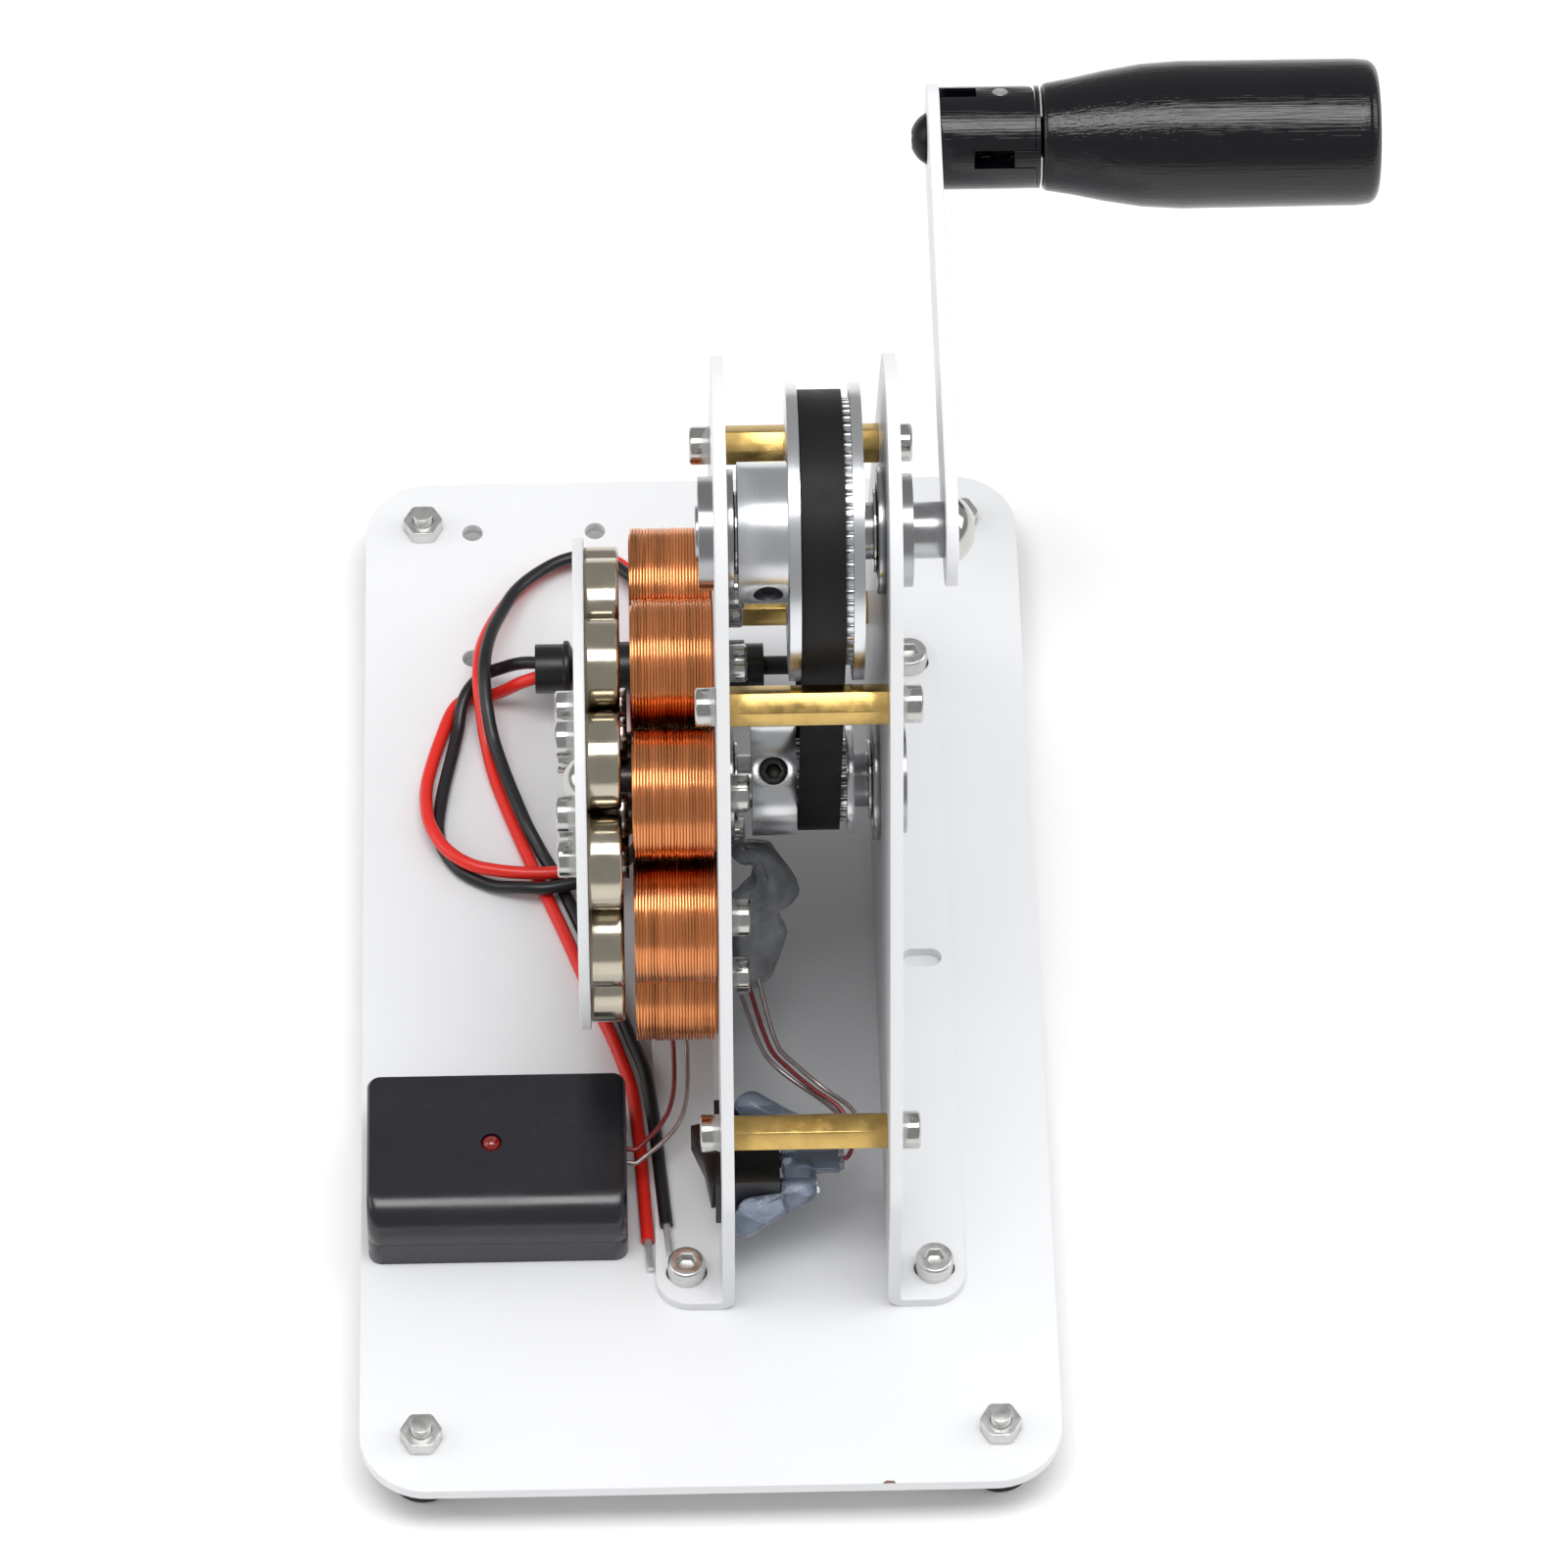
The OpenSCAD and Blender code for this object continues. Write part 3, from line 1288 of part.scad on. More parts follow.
switch_rocker();
switch_terminals();
switch_sleeves();
switch_glue();
cable_gland();
gland_nut();
gland_sleeve();
red_lead();
black_lead();
lead_tips();
box_wires();
switch_wires();
glue_lump();
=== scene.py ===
import json
import math
import random

import bmesh
import bpy
from mathutils import Matrix, Vector, noise
from mathutils.geometry import interpolate_bezier


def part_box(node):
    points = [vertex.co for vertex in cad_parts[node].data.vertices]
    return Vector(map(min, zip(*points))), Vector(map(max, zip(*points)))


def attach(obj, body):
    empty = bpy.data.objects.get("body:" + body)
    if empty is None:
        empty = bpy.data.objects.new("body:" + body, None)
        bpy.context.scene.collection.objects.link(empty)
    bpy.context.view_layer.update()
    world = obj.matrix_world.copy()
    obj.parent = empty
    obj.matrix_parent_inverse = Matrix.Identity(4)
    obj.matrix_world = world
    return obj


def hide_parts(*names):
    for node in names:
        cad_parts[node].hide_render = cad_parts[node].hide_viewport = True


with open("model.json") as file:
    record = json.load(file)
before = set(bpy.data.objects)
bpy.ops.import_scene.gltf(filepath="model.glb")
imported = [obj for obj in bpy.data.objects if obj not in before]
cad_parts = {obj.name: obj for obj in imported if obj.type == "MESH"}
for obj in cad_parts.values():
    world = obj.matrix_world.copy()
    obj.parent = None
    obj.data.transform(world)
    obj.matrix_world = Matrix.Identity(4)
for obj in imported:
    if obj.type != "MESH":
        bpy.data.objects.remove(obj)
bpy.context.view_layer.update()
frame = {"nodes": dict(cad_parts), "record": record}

MM = 0.001

# Places in this script are millimetres from the base plate's front left corner, over its top face
plate_low, plate_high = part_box("base_plate")


def place(x, y, z):
    return Vector((plate_low[0] + x * MM, plate_low[1] + y * MM, plate_high[2] + z * MM))


# Camera, with its focal length in pixels of the photograph
camera_place = (41.81, -636.62, 1027.72)
camera_down = math.radians(53.407)
camera_turn = math.radians(1.696)
camera_roll = math.radians(0.393)
image_size = 1600
camera_focus = 8511.9
sensor = 36.0
camera_reach = 20

forward = Vector((math.sin(camera_turn) * math.cos(camera_down),
                  math.cos(camera_turn) * math.cos(camera_down), -math.sin(camera_down)))
sideways = forward.cross(Vector((0, 0, 1))).normalized()
upright = sideways.cross(forward)
right = math.cos(camera_roll) * sideways + math.sin(camera_roll) * upright
up = math.cos(camera_roll) * upright - math.sin(camera_roll) * sideways

camera_data = bpy.data.cameras.new("camera")
camera_data.sensor_width = sensor
camera_data.lens = sensor * camera_focus / image_size
camera_data.clip_end = camera_reach
camera = bpy.data.objects.new("camera", camera_data)
turn = Matrix((right, up, -forward)).transposed().to_4x4()
camera.matrix_world = Matrix.Translation(place(*camera_place)) @ turn
bpy.context.scene.collection.objects.link(camera)
bpy.context.scene.camera = camera
bpy.context.scene.view_settings.view_transform = "Standard"


# Materials
def linear(code):
    parts = [int(code[i:i + 2], 16) / 255 for i in (1, 3, 5)]
    return [c / 12.92 if c <= 0.04045 else ((c + 0.055) / 1.055) ** 2.4 for c in parts] + [1.0]


def add_node(tree, kind, inputs=None, **settings):
    node = tree.nodes.new(kind)
    for key, value in settings.items():
        setattr(node, key, value)
    for key, value in (inputs or {}).items():
        if isinstance(value, bpy.types.NodeSocket):
            tree.links.new(value, node.inputs[key])
        else:
            node.inputs[key].default_value = value
    return node


def mapped_noise(tree, size_mm, stretch=(1, 1, 1), detail=3.0, roughness=0.55):
    """Noise of a real size in millimetres, on the piece's own coordinates."""
    coords = add_node(tree, "ShaderNodeTexCoord")
    scale = [1 / (size_mm * MM * s) for s in stretch]
    mapping = add_node(tree, "ShaderNodeMapping", {"Vector": coords.outputs["Object"], "Scale": scale})
    return add_node(tree, "ShaderNodeTexNoise", {
        "Vector": mapping.outputs["Vector"], "Scale": 1.0, "Detail": detail, "Roughness": roughness})


# Most of a noise texture's values lie between these two
NOISE_LOW = 0.3
NOISE_HIGH = 0.7


def spread(tree, value, low, high):
    """The noise value, spread from the low to the high one."""
    node = add_node(tree, "ShaderNodeMapRange", {
        "Value": value, "From Min": NOISE_LOW, "From Max": NOISE_HIGH, "To Min": low, "To Max": high})
    return node.outputs["Result"]


def surface(name, code, rough, metal=0.0, rough_spread=0.0, patch_mm=9, patch_stretch=(1, 1, 1),
            shade_spread=0.0, grain_mm=0.4, grain_stretch=(1, 1, 1), grain_depth_mm=0.0, fixed=None):
    """A finish: its colour and roughness vary in patches, and its grain is a low relief."""
    material = bpy.data.materials.new(name)
    material.use_nodes = True
    tree = material.node_tree
    shader = tree.nodes["Principled BSDF"]
    colour = linear(code)
    shader.inputs["Base Color"].default_value = colour
    shader.inputs["Metallic"].default_value = metal
    shader.inputs["Roughness"].default_value = rough
    for key, value in (fixed or {}).items():
        shader.inputs[key].default_value = value
    patches = mapped_noise(tree, patch_mm, patch_stretch)
    if rough_spread:
        tree.links.new(spread(tree, patches.outputs["Fac"], rough - rough_spread, rough + rough_spread),
                       shader.inputs["Roughness"])
    if shade_spread:
        shade = spread(tree, patches.outputs["Fac"], 1 - shade_spread, 1 + shade_spread)
        tint = add_node(tree, "ShaderNodeVectorMath", {0: colour[:3]}, operation="SCALE")
        tree.links.new(shade, tint.inputs["Scale"])
        tree.links.new(tint.outputs["Vector"], shader.inputs["Base Color"])
    if grain_depth_mm:
        grain = mapped_noise(tree, grain_mm, grain_stretch)
        bump = add_node(tree, "ShaderNodeBump", {"Height": grain.outputs["Fac"], "Strength": 1.0,
                                                 "Distance": grain_depth_mm * MM})
        tree.links.new(bump.outputs["Normal"], shader.inputs["Normal"])
    return material


# Grain drawn out into rings round the X axis, or into lines along it
GRAIN_LENGTH = 60
ROUND_X = (1, GRAIN_LENGTH, GRAIN_LENGTH)
ALONG_X = (GRAIN_LENGTH, 1, 1)

# Powder coat, sprayed on and baked: white with a soft broad shine and a faint orange-peel
coat = surface("white_powder_coat", "#E4E5E7", 0.38, rough_spread=0.05, patch_mm=30, shade_spread=0.008,
               grain_mm=1.6, grain_depth_mm=0.012)
# Steel screws with bright nickel plating: sharp, nearly white reflections with dark sockets
nickel = surface("nickel_plated_steel", "#C0BFBC", 0.14, 1.0, rough_spread=0.06, patch_mm=2,
                 shade_spread=0.05)
# Steel screws with zinc plating: paler and duller than nickel, slightly cloudy
zinc = surface("zinc_plated_steel", "#D6D6D4", 0.34, 1.0, rough_spread=0.08, patch_mm=1.5,
               shade_spread=0.08)
# Turned steel of shafts and bearings: grey shine drawn out by fine rings round the axis, drawn coarser
steel = surface("turned_steel", "#ACADAF", 0.22, 1.0, rough_spread=0.05, patch_mm=5,
                grain_mm=0.25, grain_stretch=ROUND_X, grain_depth_mm=0.004)
# Blackened steel of small screws: dark with a dull oily shine
dark_steel = surface("black_oxide_steel", "#2E2C2A", 0.36, 0.9, rough_spread=0.08, patch_mm=3)
# Turned aluminium of the pulleys: very light, satin, with lathe rings drawn coarser than they are
alloy = surface("turned_aluminium", "#DDDFE2", 0.24, 1.0, rough_spread=0.04, patch_mm=7,
                grain_mm=0.3, grain_stretch=ROUND_X, grain_depth_mm=0.005)
# Drawn brass hex bar: pale yellow shine with draw lines along it, drawn coarser, and a light tarnish
brass = surface("drawn_brass", "#CDAC68", 0.22, 1.0, rough_spread=0.07, patch_mm=2.5, shade_spread=0.16,
                grain_mm=0.3, grain_stretch=ALONG_X, grain_depth_mm=0.005)
# Sintered magnets with bright nickel plating: warm mirror with slightly soft reflections
magnet_skin = surface("nickel_plated_magnet", "#BFB7A6", 0.15, 1.0, rough_spread=0.05, patch_mm=5,
                      shade_spread=0.05)
# Enamelled copper wire: orange metal under a clear skin, so each turn has a bright line and its own shade
copper = surface("enamelled_copper_wire", "#E2945F", 0.22, 1.0, rough_spread=0.06, patch_mm=0.9,
                 patch_stretch=ROUND_X, shade_spread=0.26, grain_mm=0.2, grain_stretch=ROUND_X,
                 grain_depth_mm=0.008)
# Moulded gloss plastic of the handle: near black, long highlights broken by lines, drawn coarser
gloss_black = surface("moulded_gloss_plastic", "#06070C", 0.09, rough_spread=0.03, patch_mm=14,
                      grain_mm=0.3, grain_stretch=ALONG_X, grain_depth_mm=0.06)
# Moulded plastic of the box, its fine grain drawn coarser: dark grey, a blurred band on the round edge
box_black = surface("moulded_grained_plastic", "#16171E", 0.25, rough_spread=0.05, patch_mm=12,
                    grain_mm=0.5, grain_depth_mm=0.01, fixed={"Specular IOR Level": 0.7})
# Moulded nylon of the switch and the gland: black with a small soft shine on each edge
fitting_black = surface("moulded_nylon", "#0E0F11", 0.32, rough_spread=0.06, patch_mm=3, grain_mm=0.5,
                        grain_depth_mm=0.01)
# Moulded rubber of the feet: matt, a dusty dark grey where the light comes in low
foot_rubber = surface("moulded_rubber", "#141416", 0.62, rough_spread=0.08, patch_mm=3, grain_mm=0.4,
                      grain_depth_mm=0.02)
# Ground rubber back of the belt: matt black with a fine nap, drawn coarser
belt_rubber = surface("ground_belt_rubber", "#101012", 0.55, rough_spread=0.06, patch_mm=6,
                      grain_mm=0.35, grain_stretch=(1, 3, 3), grain_depth_mm=0.02,
                      fixed={"Specular IOR Level": 0.3})
# Printed circuit board under a lacquer: even dark green with a low shine
board_green = surface("lacquered_circuit_board", "#1C5B33", 0.4, rough_spread=0.05)
# Tinted clear plastic of the lamp, cast in a mould: deep red with one small bright spot
lamp_red = surface("tinted_lamp_plastic", "#7E120D", 0.12, rough_spread=0.02, patch_mm=2,
                   fixed={"Coat Weight": 0.6})
# Hot glue, set as it ran: bluish and half clear, wet-looking highlights on soft bumps
glue_blue = surface("clear_hot_glue", "#B4BFD2", 0.14, rough_spread=0.06, patch_mm=3, grain_mm=1.2,
                    grain_depth_mm=0.15, fixed={"Transmission Weight": 0.8, "IOR": 1.4})
# Hot glue over dark joints: the same skin, cloudy grey with darker patches where the wires show
glue_grey = surface("cloudy_hot_glue", "#9DA0A4", 0.2, rough_spread=0.08, patch_mm=5, shade_spread=0.45,
                    grain_mm=1.5, grain_depth_mm=0.15, fixed={"Transmission Weight": 0.3, "IOR": 1.4})
# Extruded vinyl skin of the red lead: smooth and even, one long highlight on each bend
wire_red = surface("extruded_vinyl_red", "#E0281E", 0.3, rough_spread=0.05, patch_mm=8, shade_spread=0.04)
# Extruded vinyl skin of the black lead: the same even skin, its highlight a soft grey line
wire_black = surface("extruded_vinyl_black", "#1A1A1D", 0.34, rough_spread=0.05, patch_mm=8)
# Thin copper wire under a baked red enamel: dark red with thin glints along it
thin_red = surface("red_enamelled_wire", "#8E3A3E", 0.22, 0.3, patch_mm=2, shade_spread=0.2)
# Thin copper wire under a clear skin: pale pinkish grey with thin glints along it
thin_clear = surface("clear_enamelled_wire", "#A79A98", 0.2, 0.6, patch_mm=2, shade_spread=0.15)
# Copper strands dipped in solder: bright grey with an uneven shine
tin = surface("solder_dipped_wire", "#DADBDC", 0.4, 0.8, patch_mm=1, shade_spread=0.1)
# Bare rusty steel in the chipped coat: a dull brown fleck
chipped = surface("rusty_bare_steel", "#7A5A4C", 0.7, patch_mm=1, shade_spread=0.2)


# Pieces
def link(name, mesh, material, body, nodes=()):
    """Puts a finished mesh on its body, in place of the CAD nodes that it stands for."""
    piece = bpy.data.objects.new(name, mesh)
    bpy.context.scene.collection.objects.link(piece)
    mesh.materials.clear()
    mesh.materials.append(material)
    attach(piece, body)
    if nodes:
        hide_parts(*nodes)
    return piece


bodies = frame["record"]["behaviour"]["bodies"]
body_of_node = {node: body for body, nodes in bodies.items() for node in nodes}
# Faces are flat along an axis, and point the same way, from these shares on
SQUARE_FACE = 0.9999
SAME_WAY = 0.8


def level_flats(mesh):
    """Lets flat faces shade flat: every corner beside one takes its normal."""
    flat_normal = {}
    for face in mesh.polygons:
        if max(abs(c) for c in face.normal) > SQUARE_FACE:
            for index in face.vertices:
                flat_normal.setdefault(index, []).append(face.normal.copy())
    normals = [n.vector.copy() for n in mesh.corner_normals]
    for face in mesh.polygons:
        for corner in face.loop_indices:
            for normal in flat_normal.get(mesh.loops[corner].vertex_index, []):
                if normal.dot(face.normal) > SAME_WAY:
                    normals[corner] = normal
    mesh.normals_split_custom_set(normals)


# How near points are joined, and the angles in degrees for one face, a sharp edge and a crease
JOIN_MM = 0.002
ONE_FACE_ANGLE = 0.6
SHARP_ANGLE = 32
CREASE_ANGLE = 38
ROUNDING_STEPS = 2
ROUNDING_FULLNESS = 0.6


def softened(node, material, width_mm, angle=SHARP_ANGLE, level=False):
    """The CAD piece with its sharp edges rounded a little."""
    mesh = frame["nodes"][node].data.copy()
    shape = bmesh.new()
    shape.from_mesh(mesh)
    bmesh.ops.remove_doubles(shape, verts=shape.verts, dist=JOIN_MM * MM)
    bmesh.ops.dissolve_limit(shape, angle_limit=math.radians(ONE_FACE_ANGLE), verts=shape.verts,
                             edges=shape.edges)
    sharp = [e for e in shape.edges
             if len(e.link_faces) == 2 and e.calc_face_angle() > math.radians(angle)]
    bmesh.ops.bevel(shape, geom=sharp, offset=width_mm * MM, segments=ROUNDING_STEPS,
                    profile=ROUNDING_FULLNESS, affect="EDGES", clamp_overlap=True)
    bmesh.ops.triangulate(shape, faces=[f for f in shape.faces if len(f.verts) > 4])
    shape.to_mesh(mesh)
    shape.free()
    mesh.polygons.foreach_set("use_smooth", [True] * len(mesh.polygons))
    mesh.set_sharp_from_angle(angle=math.radians(CREASE_ANGLE))
    if level:
        level_flats(mesh)
    return link(node + "_look", mesh, material, body_of_node[node], [node])


# Cords and wires: one open line through the same points as the solid ones
LEAD_D = 2.0
WIRE_D = 0.7
WIRE_ROUNDNESS = 5
WIRE_STEPS = 8
LENGTH_STEPS = 24
black_route = [
    (28.0, 143.35, 9.0), (24.6, 144.5, 7.6), (21.4, 145.7, 4.9), (18.2, 145.1, 3.6), (15.5, 141.4, 3.1),
    (14.3, 135.6, 1.3), (11.8, 122.6, 1.1), (11.6, 115.8, 1.1), (14.4, 110.3, 1.1), (19.2, 107.1, 1.2),
    (24.4, 105.3, 2.8), (28.8, 104.9, 3.3), (37.2, 107.4, 3.3), (42.2, 113.2, 3.1), (43.9, 121.0, 2.9),
    (43.9, 148.0, 2.9), (44.2, 154.6, 3.6), (43.6, 160.8, 4.1), (40.5, 165.1, 3.4), (36.2, 168.7, 3.1),
    (31.5, 168.3, 3.0), (27.2, 165.8, 3.0), (23.6, 161.8, 3.6), (21.2, 156.2, 5.0), (19.5, 150.2, 6.9),
    (18.7, 144.0, 7.8), (19.0, 137.5, 6.3), (20.2, 131.6, 3.8), (24.6, 118.0, 2.8), (27.3, 112.4, 1.5),
    (29.8, 107.4, 1.1), (35.0, 93.4, 1.1), (40.4, 77.4, 1.9), (42.6, 69.4, 2.9), (45.1, 43.4, 2.9)]
red_route = [
    (28.0, 141.05, 9.0), (24.4, 141.2, 7.0), (21.4, 142.0, 3.8), (18.8, 142.8, 1.5), (16.2, 142.9, 1.1),
    (14.0, 141.0, 1.1), (12.5, 137.4, 1.1), (9.9, 127.6, 1.2), (9.6, 121.8, 2.2), (10.5, 116.4, 3.2),
    (13.2, 111.9, 3.2), (18.2, 108.8, 3.2), (29.4, 107.6, 3.4), (35.0, 109.9, 3.4), (38.4, 113.0, 3.0),
    (40.8, 118.4, 2.0), (41.8, 125.2, 1.2), (41.9, 148.4, 1.1), (42.2, 155.0, 1.1), (42.8, 162.2, 1.2),
    (40.6, 167.8, 1.1), (35.4, 170.5, 1.1), (30.4, 169.2, 1.1), (25.8, 165.8, 1.1), (22.2, 161.0, 1.7),
    (19.8, 155.4, 3.4), (18.2, 149.4, 5.3), (17.7, 143.6, 5.8), (18.1, 138.0, 4.1), (18.9, 132.8, 1.8),
    (20.3, 126.4, 1.1), (24.9, 112.6, 1.1), (30.3, 98.3, 1.1), (35.2, 84.4, 1.1), (38.2, 76.4, 1.1),
    (40.6, 67.0, 1.1), (42.3, 41.9, 1.1)]


def bezier_length(points):
    total = 0.0
    for a, b in zip(points[:-1], points[1:]):
        steps = interpolate_bezier(a.co, a.handle_right, b.handle_left, b.co, LENGTH_STEPS)
        total += sum((q - p).length for p, q in zip(steps[:-1], steps[1:]))
    return total


def wire(name, route, diameter, material):
    """A round wire on the stand, through the points of its route; gives back its length too."""
    data = bpy.data.curves.new(name, "CURVE")
    data.dimensions = "3D"
    data.bevel_depth = diameter * MM / 2
    data.bevel_resolution = WIRE_ROUNDNESS
    data.resolution_u = WIRE_STEPS
    data.use_fill_caps = True
    data.materials.append(material)
    spline = data.splines.new("BEZIER")
    spline.bezier_points.add(len(route) - 1)
    spots = [place(*p) for p in route]
    for i, point in enumerate(spline.bezier_points):
        before = spots[max(i - 1, 0)]
        after = spots[min(i + 1, len(spots) - 1)]
        lean = (after - before).normalized()
        point.co = spots[i]
        point.handle_left_type = "FREE"
        point.handle_right_type = "FREE"
        point.handle_left = spots[i] - lean * (spots[i] - before).length / 3
        point.handle_right = spots[i] + lean * (after - spots[i]).length / 3
    piece = bpy.data.objects.new(name, data)
    bpy.context.scene.collection.objects.link(piece)
    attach(piece, "stand")
    return piece, bezier_length(spline.bezier_points)


def free_cord(name, route, diameter, material, node):
    piece, length = wire(name, route, diameter, material)
    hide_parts(node)


lead_tips = frame["nodes"]["lead_tips"]
lead_tips.data.materials.clear()
lead_tips.data.materials.append(tin)
free_cord("red_lead_look", red_route, LEAD_D, wire_red, "red_lead")
free_cord("black_lead_look", black_route, LEAD_D, wire_black, "black_lead")

box_wire_routes = [
    [(39.4, 55.0, 6.0), (41.0, 55.0, 6.0), (45.8, 61.0, 7.4), (46.6, 70.0, 9.8), (45.6, 76.0, 14.2)],
    [(39.4, 52.6, 6.0), (41.0, 52.6, 6.0), (47.4, 59.0, 7.6), (48.6, 69.0, 9.8), (47.6, 76.0, 14.2)]]
switch_wire_routes = [
    [(70.3, 46.8, 14.4), (71.9, 47.3, 14.6), (72.5, 49.8, 16.0), (70.8, 53.6, 17.6), (67.0, 56.8, 18.1),
     (63.6, 60.1, 18.5), (60.8, 63.6, 19.0), (57.8, 73.4, 21.2)],
    [(70.3, 51.3, 14.9), (72.0, 51.9, 15.0), (72.9, 54.0, 16.0), (68.3, 56.9, 18.4), (64.8, 60.3, 18.9),
     (61.9, 63.8, 19.3), (59.2, 74.0, 22.2)],
    [(70.3, 51.3, 13.9), (71.4, 52.4, 14.0), (70.2, 54.8, 15.2), (62.4, 60.2, 17.8), (59.7, 63.6, 18.4),
     (56.7, 72.6, 19.9)]]
wire_skins = (thin_red, thin_clear, thin_clear)
for group, routes in (("box_wires", box_wire_routes), ("switch_wires", switch_wire_routes)):
    for i, route in enumerate(routes):
        thin, _ = wire(f"{group}_look_{i + 1}", route, WIRE_D, wire_skins[i])
        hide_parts(group)


# Coil windings: a node tree winds one unbroken wire for each coil, its turns a little uneven
COIL_COUNT = 9
TURNS = 26
STEPS_IN_TURN = 40
WIRE_SIDES = 8
WINDING_SEED = 40.0
# How fast the two noises change over a millimetre, and the range of each that is used
SINK_PER_MM = 0.02
SINK_NOISE = (0.45, 0.7)
SWAY_PER_MM = 0.25
SWAY_NOISE = (0.2, 0.8)
WINDING_MM = {"Coil Radius": 9.4, "Ring Radius": 28.5, "Wire Half Width": 0.22, "Wire Rise": 0.08,
              "Deepest Sink": 0.26, "Widest Sway": 0.06}
coil_low, coil_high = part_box("coil_cores")
shaft_low, shaft_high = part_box("driven_shaft")


def winding_tree(material):
    """The node tree of all windings, with its sizes as inputs."""
    tree = bpy.data.node_groups.new("coil_winding", "GeometryNodeTree")
    tree.interface.new_socket("Geometry", in_out="INPUT", socket_type="NodeSocketGeometry")
    tree.interface.new_socket("Coil Length", in_out="INPUT", socket_type="NodeSocketFloat")
    tree.interface.new_socket("Ring Place", in_out="INPUT", socket_type="NodeSocketVector")
    tree.interface.new_socket("Seed", in_out="INPUT", socket_type="NodeSocketFloat")
    for name in WINDING_MM:
        tree.interface.new_socket(name, in_out="INPUT", socket_type="NodeSocketFloat")
    tree.interface.new_socket("Geometry", in_out="OUTPUT", socket_type="NodeSocketGeometry")
    sizes = tree.nodes.new("NodeGroupInput").outputs

    def total(operation, first, second):
        node = add_node(tree, "ShaderNodeMath", {0: first, 1: second}, operation=operation)
        return node.outputs["Value"]

    def share_of(value, used, low):
        node = add_node(tree, "ShaderNodeMapRange", {
            "Value": value, "From Min": used[0], "From Max": used[1], "To Min": low, "To Max": 1.0})
        return node.outputs["Result"]

    # One coil's wire, wound round the X axis
    radius = total("SUBTRACT", sizes["Coil Radius"], sizes["Wire Rise"])
    end_room = total("ADD", sizes["Wire Half Width"], sizes["Widest Sway"])
    length = total("SUBTRACT", sizes["Coil Length"], total("MULTIPLY", end_room, 2.0))
    spiral = add_node(tree, "GeometryNodeCurveSpiral", {
        "Resolution": STEPS_IN_TURN, "Rotations": TURNS, "Start Radius": radius, "End Radius": radius,
        "Height": length})
    lying = add_node(tree, "GeometryNodeTransform", {
        "Geometry": spiral.outputs["Curve"], "Rotation": (0, math.pi / 2, 0)})
    spot = add_node(tree, "GeometryNodeInputPosition").outputs["Position"]
    across = add_node(tree, "ShaderNodeVectorMath", {0: spot, 1: (0, 1, 1)}, operation="MULTIPLY")
    outward = add_node(tree, "ShaderNodeVectorMath", {0: across.outputs["Vector"]}, operation="NORMALIZE")
    way_along = add_node(tree, "GeometryNodeSplineParameter").outputs["Factor"]
    turn_now = total("MULTIPLY", way_along, float(TURNS))
    kept = tree.nodes.new("GeometryNodeCaptureAttribute")
    kept.capture_items.new("VECTOR", "outward")
    kept.capture_items.new("FLOAT", "turn_now")
    tree.links.new(lying.outputs["Geometry"], kept.inputs["Geometry"])
    tree.links.new(outward.outputs["Vector"], kept.inputs["outward"])
    tree.links.new(turn_now, kept.inputs["turn_now"])

    # The ring of coils, the first of them on top
    ring = add_node(tree, "GeometryNodeMeshCircle", {
        "Vertices": COIL_COUNT, "Radius": sizes["Ring Radius"]})
    standing = add_node(tree, "GeometryNodeTransform", {
        "Geometry": ring.outputs["Mesh"], "Translation": sizes["Ring Place"],
        "Rotation": (0, -math.pi / 2, 0)})
    coils = add_node(tree, "GeometryNodeInstanceOnPoints", {
        "Points": standing.outputs["Geometry"], "Instance": kept.outputs["Geometry"]})
    wires = add_node(tree, "GeometryNodeRealizeInstances", {"Geometry": coils.outputs["Instances"]})

    # Each turn sinks in by its own amount and sways a little to the side
    scattered = add_node(tree, "ShaderNodeVectorMath", {0: spot, "Scale": 1 / MM}, operation="SCALE")
    sink_spot = add_node(tree, "ShaderNodeVectorMath", {
        0: scattered.outputs["Vector"], 1: (0, SINK_PER_MM, SINK_PER_MM)}, operation="MULTIPLY")
    sink = add_node(tree, "ShaderNodeTexNoise", {
        "Vector": sink_spot.outputs["Vector"], "W": total("ADD", kept.outputs["turn_now"], sizes["Seed"]),
        "Scale": 1.0, "Detail": 1.0}, noise_dimensions="4D")
    sink_depth = total("MULTIPLY", share_of(sink.outputs["Fac"], SINK_NOISE, 0.0), sizes["Deepest Sink"])
    sway = add_node(tree, "ShaderNodeTexNoise", {
        "Vector": scattered.outputs["Vector"], "W": sizes["Seed"], "Scale": SWAY_PER_MM, "Detail": 0.0},
        noise_dimensions="4D")
    sway_way = total("MULTIPLY", share_of(sway.outputs["Fac"], SWAY_NOISE, -1.0), sizes["Widest Sway"])
    inward = add_node(tree, "ShaderNodeVectorMath", {
        0: kept.outputs["outward"], "Scale": total("MULTIPLY", sink_depth, -1.0)}, operation="SCALE")
    aside = add_node(tree, "ShaderNodeCombineXYZ", {"X": sway_way})
    moved = add_node(tree, "ShaderNodeVectorMath",
                     {0: inward.outputs["Vector"], 1: aside.outputs["Vector"]}, operation="ADD")
    uneven = add_node(tree, "GeometryNodeSetPosition", {
        "Geometry": wires.outputs["Geometry"], "Offset": moved.outputs["Vector"]})

